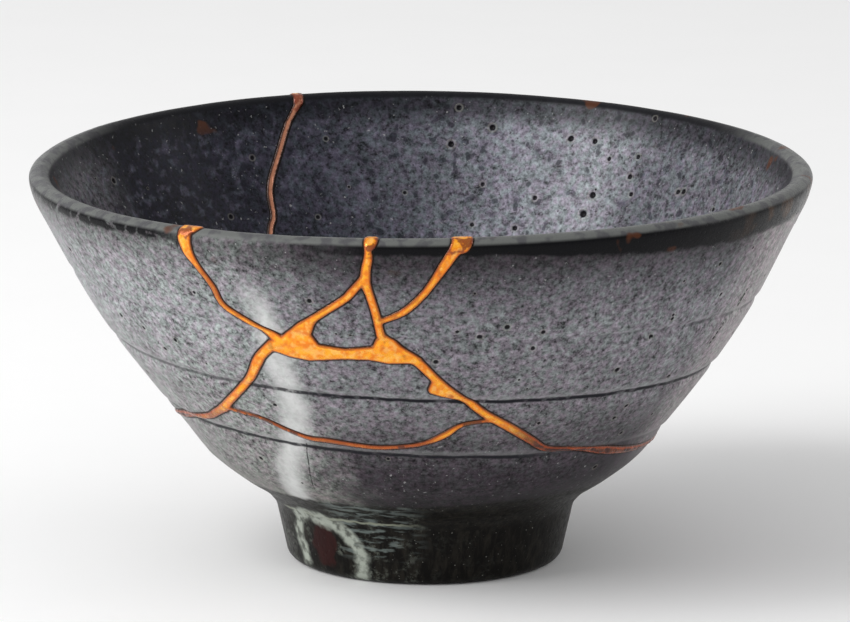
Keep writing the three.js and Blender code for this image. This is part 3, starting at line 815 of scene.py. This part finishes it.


# Run sets the paler run down the front, partly a painted reflection
glaze, dial = new_tree("Ash glaze", "ShaderNodeTree", [
    ("Speckle", "Float", 1.0), ("Run", "Float", 1.0)])
object_place = link_node(glaze, "ShaderNodeTexCoord").node.outputs["Object"]
spot = link_node(glaze, "ShaderNodeVectorMath", object_place, 1000.0, operation="SCALE")     # mm
x, y, _ = link_node(glaze, "ShaderNodeSeparateXYZ", spot).node.outputs
bearing = math(glaze, "DEGREES", math(glaze, "ARCTAN2", x, math(glaze, "MULTIPLY", y, -1.0)))
up, gap, within = attribute(glaze, "height"), attribute(glaze, "gap"), attribute(glaze, "inside")
line, strength, pit = attribute(glaze, "line"), attribute(glaze, "line_strength"), attribute(glaze, "pit")
wander = math(glaze, "SUBTRACT", noise(glaze, spot, 0.22, 3.0), 0.5)
grain = noise(glaze, spot, 1.0, 2.0, 0.75)
clouds = noise(glaze, spot, 0.16, 3.0)
flow = noise(glaze, stretched(glaze, spot, 1.0, 1.0, 0.22), 0.34, 3.0)

# the outside, top to bottom: paler and greenish on the left, darker and bluish on the right, darker towards
# the foot and just under the lip; partly the glaze's own drift, partly painted light on the left and painted
# shade on the right and low on the wall
height = math(glaze, "DIVIDE", up, 80.0)
pale_lit_side = ramp(glaze, height, [
    (0.14, (0.10, 0.095, 0.08)), (0.22, (0.16, 0.155, 0.14)), (0.30, (0.20, 0.20, 0.19)),
    (0.45, (0.235, 0.235, 0.23)), (0.72, (0.26, 0.265, 0.27)), (0.85, (0.22, 0.22, 0.225)),
    (0.92, (0.11, 0.11, 0.11))])
dark_shaded_side = ramp(glaze, height, [
    (0.14, (0.006, 0.005, 0.005)), (0.23, (0.020, 0.017, 0.019)), (0.33, (0.040, 0.034, 0.040)),
    (0.42, (0.095, 0.09, 0.096)), (0.52, (0.165, 0.16, 0.17)), (0.72, (0.185, 0.183, 0.195)),
    (0.83, (0.11, 0.107, 0.117)), (0.90, (0.040, 0.036, 0.040))])
side = fade(glaze, math(glaze, "ADD", bearing, times(glaze, wander, 26.0)), -34.0, -10.0)
side = math(glaze, "MAXIMUM", side, fade(glaze, bearing, -130.0, -176.0))      # and so it meets at the back
outer = blend(glaze, side, pale_lit_side, dark_shaded_side)
# a paler tan band at the right edge: partly the glaze's tone, partly painted rim light from the right
tan_and_rim_lit_edge = times(glaze, fade(glaze, bearing, 52.0, 70.0), fade(glaze, bearing, 118.0, 95.0))
outer = blend(glaze, times(glaze, tan_and_rim_lit_edge, fade(glaze, up, 18.0, 34.0), 0.75), outer, (0.33, 0.30, 0.30))

# the inside, round from the left: nearly black on the left, partly its own dark glaze and partly painted
# shade, with a painted reflection of the key light towards the back right; hazy elsewhere
turn = math(glaze, "FRACT", math(glaze, "DIVIDE", math(glaze, "ADD", bearing, 360.0), 360.0))
inner = ramp(glaze, turn, [
    (0.0, (0.05, 0.05, 0.06)), (0.27, (0.11, 0.107, 0.118)), (0.385, (0.13, 0.132, 0.148)),
    (0.41, (0.27, 0.275, 0.30)), (0.455, (0.21, 0.213, 0.24)), (0.50, (0.095, 0.098, 0.115)),
    (0.55, (0.045, 0.046, 0.06)),
    (0.60, (0.020, 0.020, 0.030)), (0.665, (0.008, 0.008, 0.014)), (0.70, (0.10, 0.097, 0.105)),
    (0.76, (0.12, 0.118, 0.125)), (0.86, (0.05, 0.05, 0.06))])
inner = blend(glaze, times(glaze, patchy(glaze, spot, 0.5, 0.58, 0.68), 0.8), inner, (0.008, 0.008, 0.013))
inner = blend(glaze, times(glaze, patchy(glaze, spot, 0.4, 0.50, 0.68), 0.30), inner, (0.13, 0.13, 0.17))
inner = blend(glaze, times(glaze, fade(glaze, up, 69.0, 74.5), 0.75), inner, (0.004, 0.004, 0.006))
body = blend(glaze, within, outer, inner)

# clouds and vertical flow in the glaze, then its grain
shade = math(glaze, "ADD", math(glaze, "MULTIPLY", math(glaze, "SUBTRACT", clouds, 0.5), 0.9),
             math(glaze, "MULTIPLY", math(glaze, "SUBTRACT", flow, 0.5), 0.7))
grains = times(glaze, math(glaze, "SUBTRACT", grain, 0.5), 3.7, dial["Speckle"])
tone = math(glaze, "MAXIMUM", math(glaze, "ADD", 1.0, math(glaze, "ADD", shade, grains)), 0.12)
body = link_node(glaze, "ShaderNodeVectorMath", body, tone, operation="SCALE")
tint = blend(glaze, fade(glaze, noise(glaze, spot, 0.7, 2.0), 0.38, 0.62), (0.95, 1.04, 1.0),
             (1.06, 0.96, 1.05))
body = link_node(glaze, "ShaderNodeVectorMath", body, tint, operation="MULTIPLY")
dark_fleck = times(glaze, patchy(glaze, spot, 1.05, 0.64, 0.74), 0.75, dial["Speckle"])
body = blend(glaze, dark_fleck, body, (0.018, 0.016, 0.02))
pale_fleck = times(glaze, patchy(glaze, stretched(glaze, spot, 1.0, 1.0, 0.97), 1.2, 0.68, 0.76), 0.55,
                   dial["Speckle"])
body = blend(glaze, pale_fleck, body, (0.42, 0.42, 0.42))

# the paler run down the front left, partly a paler run of glaze and partly a painted reflection, with a
# hairline crack at its right
centre = math(glaze, "ADD", -24.6, math(glaze, "ADD", fade(glaze, up, 56.0, 74.0, 0.0, -3.0),
                                        fade(glaze, up, 42.0, 15.0, 0.0, -13.5)))
mm_per_degree = math(glaze, "ADD", 0.45, times(glaze, up, 0.011))
from_run_and_sheen = times(glaze, math(glaze, "SUBTRACT", bearing, centre), mm_per_degree)
from_run_and_sheen = math(glaze, "ADD", from_run_and_sheen, times(glaze, wander, 2.4))
outer_only = math(glaze, "SUBTRACT", 1.0, within)
run_and_sheen_core = times(glaze, band(glaze, from_run_and_sheen, 0.0, 0.4, 4.2), fade(glaze, up, 70.0, 56.0),
                 fade(glaze, up, 14.0, 19.0),
                 math(glaze, "ADD", 0.45, times(glaze, flow, 0.75)), outer_only, dial["Run"])
body = blend(glaze, times(glaze, run_and_sheen_core, 0.9), body, (0.66, 0.67, 0.66))

# the potter's spiral: the dark line along its groove is painted shade of a notch finer than the mesh, with a
# paler strip beside it
upper = times(glaze, fade(glaze, up, 49.0, 51.0), math(glaze, "MAXIMUM", fade(glaze, bearing, 14.0, 30.0),
              fade(glaze, bearing, -80.0, -110.0)), patchy(glaze, spot, 0.12, 0.42, 0.55), 0.55)
main = times(glaze, fade(glaze, up, 37.0, 39.0), fade(glaze, up, 51.0, 49.0), math(glaze, "MAXIMUM",
             fade(glaze, bearing, -50.0, -12.0, 0.6, 1.0), fade(glaze, bearing, -80.0, -110.0, 0.6, 1.0)))
low = times(glaze, fade(glaze, up, 38.0, 36.0), math(glaze, "MINIMUM",
            fade(glaze, bearing, 34.0, 20.0, 0.35, 0.95), fade(glaze, bearing, -110.0, -80.0, 0.35, 0.95)))
drawn = math(glaze, "ADD", upper, math(glaze, "ADD", main, low))
wavy = math(glaze, "ADD", line, times(glaze, wander, 0.7))
painted_groove_shade = times(glaze, band(glaze, wavy, 0.0, 0.2, 0.32), drawn, strength,
                fade(glaze, noise(glaze, spot, 0.5, 2.0), 0.30, 0.46, 0.45, 1.0))
beside_line = times(glaze, band(glaze, wavy, 1.0, 0.2, 0.9), strength, drawn, 0.22)
body = blend(glaze, beside_line, body, (0.36, 0.37, 0.37))
body = blend(glaze, painted_groove_shade, body, (0.008, 0.008, 0.012))

# iron at the lip: black down to an uneven edge, thicker on the right; the lip's own top stays grey
edge = math(glaze, "ADD", fade(glaze, bearing, -4.0, 54.0, 73.9, 70.9), times(glaze, wander, 2.0))
edge = math(glaze, "SUBTRACT", edge, fade(glaze, bearing, -120.0, -176.0, 0.0, 3.0))
iron = fade(glaze, up, math(glaze, "SUBTRACT", edge, 0.5), math(glaze, "ADD", edge, 0.5))
worn = fade(glaze, bearing, -22.0, -6.0, 0.0, 1.0)
ragged = times(glaze, fade(glaze, bearing, -30.0, -42.0), patchy(glaze, spot, 0.5, 0.34, 0.46))
behind = fade(glaze, math(glaze, "ABSOLUTE", bearing), 76.0, 90.0)
iron = times(glaze, iron, outer_only, math(glaze, "MAXIMUM", math(glaze, "MAXIMUM", worn, ragged), behind))
rusty = blend(glaze, times(glaze, patchy(glaze, spot, 0.2, 0.5, 0.66), fade(glaze, bearing, 48.0, 66.0),
                                   fade(glaze, bearing, 120.0, 90.0)),
              (0.003, 0.003, 0.004), (0.05, 0.026, 0.014))
body = blend(glaze, iron, body, rusty)
lip_top = blend(glaze, patchy(glaze, spot, 0.35, 0.45, 0.62), (0.13, 0.135, 0.13), (0.085, 0.085, 0.09))
turned_away = math(glaze, "ABSOLUTE", bearing)
# a painted highlight along the front of the lip's crest
painted_crest_highlight = times(glaze, fade(glaze, up, 77.2, 77.6), fade(glaze, turned_away, 74.0, 50.0), 0.8)
lip_top = blend(glaze, painted_crest_highlight, lip_top, (0.55, 0.56, 0.56))
lip_top = blend(glaze, fade(glaze, turned_away, 104.0, 128.0), lip_top, (0.007, 0.007, 0.009))
body = blend(glaze, times(glaze, fade(glaze, up, 75.3, 76.0), 0.95), body, lip_top)
rust = times(glaze, patchy(glaze, spot, 0.13, 0.655, 0.70), fade(glaze, up, 69.0, 74.0))
body = blend(glaze, times(glaze, rust, 0.8), body, (0.085, 0.028, 0.012))

# pits: black at the bottom with a thin pale rim; and the glaze's edge, dark along the gold
body = blend(glaze, times(glaze, band(glaze, pit, 1.3, 0.1, 0.35), 0.16), body, (0.45, 0.43, 0.36))
body = blend(glaze, times(glaze, fade(glaze, pit, 0.75, 1.05, 1.0, 0.0), 0.96), body, (0.006, 0.005, 0.006))
body = blend(glaze, times(glaze, fade(glaze, gap, 0.06, 0.34, 1.0, 0.0), 0.92), body, (0.014, 0.008, 0.005))
rough = math(glaze, "ADD", fade(glaze, grain, 0.3, 0.7, 0.30, 0.46), times(glaze, iron, -0.10))
relief = math(glaze, "SUBTRACT", times(glaze, grain, 0.6), times(glaze, dark_fleck, 0.5))
outputs_of(glaze, Color=body, Roughness=rough, Relief=relief)


def finish(name, specular=0.5):
    """A material with its Principled shader and its specular level."""
    material = bpy.data.materials.new(name)
    material.use_nodes = True
    tree = material.node_tree
    shader = tree.nodes["Principled BSDF"]
    shader.inputs["Specular IOR Level"].default_value = specular
    return material, tree, shader


def raise_relief(tree, shader, relief, depth):
    """Fine relief in millimetres, as a Bump."""
    bump = tree.nodes.new("ShaderNodeBump")
    bump.inputs["Distance"].default_value = depth
    tree.links.new(relief, bump.inputs["Height"])
    tree.links.new(bump.outputs["Normal"], shader.inputs["Normal"])


def glazed_with(tree, **amounts):
    """The glaze group in a material, with its own amounts; gives back its outputs."""
    node = tree.nodes.new("ShaderNodeGroup")
    node.node_tree = glaze
    for name, amount in amounts.items():
        node.inputs[name.capitalize()].default_value = amount
    return node.outputs


def fire(name, material):
    """Throws, pits and fires one flat piece, and lets it stand for its solid."""
    piece = pieces[name]
    put_on(piece, wheel, section=section_object, finish=material)
    put_on(piece, kiln, pits=pit_object, finish=material)
    fired = bpy.data.meshes.new_from_object(piece.evaluated_get(bpy.context.evaluated_depsgraph_get()))
    piece.modifiers.clear()
    piece.data = fired
    fired.shade_smooth()
    fired.set_sharp_from_angle(angle=radians(58))
    piece.name = name + "_finished"
    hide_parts(name)
    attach(piece, "root")


GLAZE_RELIEF = 0.00008      # metres

# ---- Six sherds of the wall ----
# Two large wall sherds, three small rim and middle ones and the lens, of the same glazed pot.
grey_glaze, tree, shader = finish("grey_glaze", specular=0.09)
colour, rough, relief = glazed_with(tree, speckle=1.0, run=1.0)
tree.links.new(colour, shader.inputs["Base Color"])
tree.links.new(rough, shader.inputs["Roughness"])
raise_relief(tree, shader, relief, GLAZE_RELIEF)
for name in ("left_wall_sherd", "front_rim_sherd", "island_chip", "notch_rim_sherd", "right_wall_sherd",
             "lens_sherd"):
    fire(name, grey_glaze)

# ---- The foot sherd ----
# The bowl's floor, lower wall and foot ring in one. The glaze ends dark and glossy over the foot,
# with a pale loop of ash round a maroon spot, smears of ash beside it, and a hairline crack above.
FOOT_RADIUS = 27
OVAL_BEARING, OVAL_HEIGHT, OVAL_HALF_TURN, OVAL_HALF_HEIGHT = -42.0, 6.4, 6.6, 4.4
HAIR_BEARING, HAIR_TOP, HAIR_LEAN = -25.6, 31.9, 0.33      # degrees, mm, degrees each mm down
ASH_LOOP = [(-57, 2), (-59, 7), (-57.5, 10.8), (-50, 12.3), (-42.5, 12.2), (-35, 11), (-30, 8.6), (-26.5, 6),
            (-25.8, 3.5), (-27, 0.8)]
foot_glaze, tree, shader = finish("foot_glaze", specular=0.09)
colour, rough, relief = glazed_with(tree, speckle=1.0, run=1.0)
spot = link_node(tree, "ShaderNodeVectorMath", link_node(tree, "ShaderNodeTexCoord").node.outputs["Object"],
                 1000.0, operation="SCALE")
x, y, z = link_node(tree, "ShaderNodeSeparateXYZ", spot).node.outputs
bearing = math(tree, "DEGREES", math(tree, "ARCTAN2", x, math(tree, "MULTIPLY", y, -1.0)))
up, within = attribute(tree, "height"), attribute(tree, "inside")
wander = math(tree, "SUBTRACT", noise(tree, spot, 0.4, 3.0), 0.5)
outer_only = math(tree, "SUBTRACT", 1.0, within)
# where the grey glaze ends, a little above the foot, and the dark slip under it
end = math(tree, "ADD", math(tree, "MAXIMUM", fade(tree, bearing, -20.0, 30.0, 17.7, 18.7),
                             fade(tree, bearing, -130.0, -176.0, 17.7, 18.7)), times(tree, wander, 1.6))
slip = times(tree, fade(tree, up, math(tree, "ADD", end, 0.5), math(tree, "SUBTRACT", end, 0.5)), outer_only)
streaks = noise(tree, stretched(tree, spot, 1.0, 1.0, 0.16), 0.9, 3.0, 0.65)
dark = blend(tree, fade(tree, streaks, 0.4, 0.7), (0.004, 0.0035, 0.003), (0.016, 0.014, 0.011))
ash = times(tree, patchy(tree, spot, 0.26, 0.50, 0.66),
            fade(tree, noise(tree, spot, 1.3, 3.0, 0.7), 0.44, 0.60))
dark = blend(tree, times(tree, ash, 0.6, math(tree, "MINIMUM", fade(tree, bearing, 8.0, -8.0, 0.12, 1.0),
                                           fade(tree, bearing, -176.0, -110.0, 0.12, 1.0))), dark,
             (0.12, 0.13, 0.11))
smear = fade(tree, noise(tree, stretched(tree, spot, 0.35, 0.35, 1.6), 0.8, 3.0), 0.48, 0.62)
smear = times(tree, smear, fade(tree, bearing, -36.0, -28.0), fade(tree, bearing, 6.0, -14.0),
              fade(tree, z, 4.0, 7.0))
dark = blend(tree, times(tree, smear, 0.7), dark, (0.16, 0.19, 0.18))
glaze_end = times(tree, band(tree, math(tree, "ADD", z, times(tree, wander, 1.2)), 12.6, 0.08, 0.3),
                  fade(tree, bearing, -66.0, -58.0), fade(tree, bearing, 4.0, -12.0))
dark = blend(tree, times(tree, glaze_end, 0.75), dark, (0.30, 0.32, 0.25))
specks = fade(tree, noise(tree, spot, 2.0, 2.0, 0.6), 0.70, 0.78)
dark = blend(tree, times(tree, specks, 0.7), dark, (0.42, 0.42, 0.38))
oval_x = math(tree, "DIVIDE", math(tree, "SUBTRACT", bearing, OVAL_BEARING), OVAL_HALF_TURN)
oval_z = math(tree, "DIVIDE", math(tree, "SUBTRACT", z, OVAL_HEIGHT), OVAL_HALF_HEIGHT)
from_oval = math(tree, "SQRT", math(tree, "ADD", math(tree, "POWER", oval_x, 2.0),
                                    math(tree, "POWER", oval_z, 2.0)))
from_oval = math(tree, "ADD", from_oval, times(tree, wander, 0.9))
on_oval = times(tree, fade(tree, from_oval, 1.1, 0.85), outer_only)
dark = blend(tree, on_oval, dark, blend(tree, streaks, (0.010, 0.002, 0.002), (0.035, 0.009, 0.008)))
ash_line = math(tree, "ADD", attribute(tree, "ash_loop"), times(tree, wander, 2.2))
on_loop = times(tree, fade(tree, ash_line, 2.1, 0.7),
                fade(tree, noise(tree, spot, 0.6, 3.0), 0.34, 0.58, 0.25, 0.95))
dark = blend(tree, on_loop, dark, (0.36, 0.39, 0.34))
colour = blend(tree, slip, colour, dark)
# a hairline crack that runs down from the spiral
from_hair = math(tree, "ADD", math(tree, "SUBTRACT", bearing, HAIR_BEARING),
                 times(tree, math(tree, "SUBTRACT", HAIR_TOP, up), HAIR_LEAN))
from_hair = math(tree, "ADD", times(tree, from_hair, 0.78), times(tree, wander, 0.5))
hair = times(tree, band(tree, from_hair, 0.0, 0.05, 0.16), fade(tree, up, 20.0, 22.0),
             fade(tree, up, 32.2, 31.8),
             fade(tree, streaks, 0.34, 0.5, 0.35, 0.95), outer_only)
colour = blend(tree, hair, colour, (0.01, 0.009, 0.01))
tree.links.new(colour, shader.inputs["Base Color"])
tree.links.new(rough, shader.inputs["Roughness"])
raise_relief(tree, shader, relief, GLAZE_RELIEF)
flat_foot = pieces["foot_sherd"].data
places_of = {}
for key in ("bearing", "station"):
    places_of[key] = np.empty(len(flat_foot.vertices), np.float32)
    flat_foot.attributes[key].data.foreach_get("value", places_of[key])
radius, up = (np.interp(places_of["station"], stations, axis) for axis in section.T)
around = (places_of["bearing"] + np.pi) % tau - np.pi
from_loop = near_line([(np.array([radians(turn) * FOOT_RADIUS, height]), 0) for turn, height in ASH_LOOP],
                      np.column_stack([around * FOOT_RADIUS, up]))
from_loop[(places_of["station"] > outside.at_height(16)) | (radius < 25)] = NEAR
flat_foot.attributes.new("ash_loop", "FLOAT", "POINT").data.foreach_set("value", from_loop.astype(np.float32))
fire("foot_sherd", foot_glaze)

# ---- The gold ----
# Urushi lacquer that fills every break from face to face, laid with a brush so that it stands a
# little proud, and dusted with gold powder; worn to its red and brown undercoat where it is thin.
# A painted highlight runs along the middle of each bead, and the gold inside is darkened as painted shade.
gold, tree, shader = finish("gold")
shader.inputs["Metallic"].default_value = 0.4
BRUSH_RELIEF = 0.00012      # metres
spot = link_node(tree, "ShaderNodeVectorMath", link_node(tree, "ShaderNodeTexCoord").node.outputs["Object"],
                 1000.0, operation="SCALE")
x, y, _ = link_node(tree, "ShaderNodeSeparateXYZ", spot).node.outputs
bearing = math(tree, "DEGREES", math(tree, "ARCTAN2", x, math(tree, "MULTIPLY", y, -1.0)))
up, gap, within = attribute(tree, "height"), attribute(tree, "gap"), attribute(tree, "inside")
outer_only = math(tree, "SUBTRACT", 1.0, within)
powder = noise(tree, spot, 0.5, 3.0, 0.6)
leaf = blend(tree, fade(tree, powder, 0.38, 0.62), (0.86, 0.22, 0.004), (1.0, 0.40, 0.012))
# a painted highlight along the middle of each bead
painted_ridge_highlight = times(tree, fade(tree, gap, -0.45, -0.8), fade(tree, noise(tree, spot, 0.8, 2.0), 0.45, 0.65), 0.5)
bright = blend(tree, painted_ridge_highlight, leaf, (1.0, 0.60, 0.16))
brown = blend(tree, fade(tree, powder, 0.4, 0.6), (0.20, 0.045, 0.012), (0.42, 0.13, 0.025))
low_line = times(tree, fade(tree, up, 39.0, 36.0), outer_only)
thin_gold = times(tree, low_line, fade(tree, bearing, 6.0, 0.0), 0.8)
worn_right = times(tree, low_line, math(tree, "MAXIMUM", fade(tree, bearing, 14.0, 27.0),
                                        fade(tree, bearing, -50.0, -64.0)))
left_neck = times(tree, fade(tree, up, 60.0, 62.5), fade(tree, up, 70.5, 68.0),
                  fade(tree, bearing, -29.0, -31.0), outer_only, 0.55)
colour = blend(tree, math(tree, "MAXIMUM", thin_gold, left_neck), bright, brown)
maroon = blend(tree, fade(tree, powder, 0.45, 0.6), (0.055, 0.012, 0.006), (0.17, 0.045, 0.016))
colour = blend(tree, worn_right, colour, maroon)
red = times(tree, patchy(tree, spot, 0.33, 0.62, 0.69), fade(tree, up, 76.0, 71.0, 1.0, 0.45))
colour = blend(tree, times(tree, red, 0.8), colour, (0.16, 0.012, 0.004))
# the gold inside the bowl darker and duller: painted shade, as on the inner glaze beside it
gold_in_painted_shade = blend(tree, fade(tree, gap, -0.25, -0.6), (0.06, 0.018, 0.010), (0.50, 0.20, 0.11))
colour = blend(tree, within, colour, gold_in_painted_shade)
brushed = math(tree, "ADD", gap, times(tree, math(tree, "SUBTRACT", powder, 0.5), 0.9))
undercoat = times(tree, fade(tree, brushed, -0.62, -0.30), outer_only, 0.75)
colour = blend(tree, undercoat, colour, (0.42, 0.065, 0.006))
head = times(tree, fade(tree, up, 72.5, 74.0), patchy(tree, spot, 0.55, 0.46, 0.58))
colour = blend(tree, times(tree, head, 0.85), colour, (0.20, 0.03, 0.008))
rim_dark = math(tree, "SUBTRACT", -0.24, times(tree, noise(tree, spot, 0.9, 2.0), 0.22))
colour = blend(tree, times(tree, fade(tree, gap, rim_dark, -0.02), 0.93), colour, (0.020, 0.008, 0.004))
tree.links.new(colour, shader.inputs["Base Color"])
tree.links.new(fade(tree, powder, 0.3, 0.7, 0.36, 0.22), shader.inputs["Roughness"])
raise_relief(tree, shader, noise(tree, spot, 1.2, 2.0), BRUSH_RELIEF)
fire("gold_seam", gold)
for helper in (section_object, pit_object):
    bpy.data.objects.remove(helper)

# ---- Studio ----
# A plain pale floor, white surroundings, a broad softbox from the left and a weak one at the right,
# and the camera, a step back from the table and a little above it.
pale_floor, tree, shader = finish("pale_floor")
shader.inputs["Roughness"].default_value = 0.9
paper = noise(tree, link_node(tree, "ShaderNodeTexCoord").node.outputs["Object"], 40.0, 2.0)
tree.links.new(blend(tree, paper, (0.95, 0.95, 0.95), (0.97, 0.97, 0.97)), shader.inputs["Base Color"])
floor_mesh = bpy.data.meshes.new("floor")
floor_mesh.from_pydata([(-6, -6, 0), (6, -6, 0), (6, 6, 0), (-6, 6, 0)], [], [(0, 1, 2, 3)])
floor = bpy.data.objects.new("floor", floor_mesh)
bpy.context.scene.collection.objects.link(floor)
floor_mesh.materials.append(pale_floor)

world = bpy.data.worlds.new("studio")
bpy.context.scene.world = world
world.use_nodes = True
sky = world.node_tree
seen = sky.nodes["Background"]
seen.inputs["Color"].default_value = (1, 1, 1, 1)
seen.inputs["Strength"].default_value = 1.0
lit = sky.nodes.new("ShaderNodeBackground")
lit.inputs["Color"].default_value = (1, 1, 1, 1)
lit.inputs["Strength"].default_value = 0.6
chosen = sky.nodes.new("ShaderNodeMixShader")
sky.links.new(sky.nodes.new("ShaderNodeLightPath").outputs["Is Camera Ray"], chosen.inputs[0])
sky.links.new(lit.outputs[0], chosen.inputs[1])
sky.links.new(seen.outputs[0], chosen.inputs[2])
sky.links.new(chosen.outputs[0], sky.nodes["World Output"].inputs["Surface"])
bpy.context.scene.view_settings.view_transform = "Standard"


def softbox(name, place, size, power, aim=(0, 0, 0.04)):
    light = bpy.data.lights.new(name, "AREA")
    light.shape, light.size, light.energy = "RECTANGLE", size[0], power
    light.size_y = size[1]
    lamp = bpy.data.objects.new(name, light)
    bpy.context.scene.collection.objects.link(lamp)
    lamp.location = place
    lamp.rotation_euler = (Vector(aim) - Vector(place)).to_track_quat("-Z", "Y").to_euler()


softbox("key", (-1.05, -0.45, 0.8), (0.6, 1.3), 17)
softbox("fill", (1.3, 0.1, 0.5), (0.4, 0.8), 2.5)

AIM, DISTANCE = Vector((0.00092, 0, 0.0478)), 1.5
ELEVATION, ROLL = radians(12.262), radians(0.224)
LENS, SENSOR = 330.8, 36
camera = bpy.data.objects.new("camera", bpy.data.cameras.new("camera"))
bpy.context.scene.collection.objects.link(camera)
camera.location = AIM + DISTANCE * Vector((0, -cos(ELEVATION), sin(ELEVATION)))
camera.rotation_euler = (AIM - camera.location).to_track_quat("-Z", "Y").to_euler()
camera.rotation_euler.rotate_axis("Z", ROLL)
camera.data.lens, camera.data.sensor_width = LENS, SENSOR
camera.data.clip_end = 50
bpy.context.scene.camera = camera
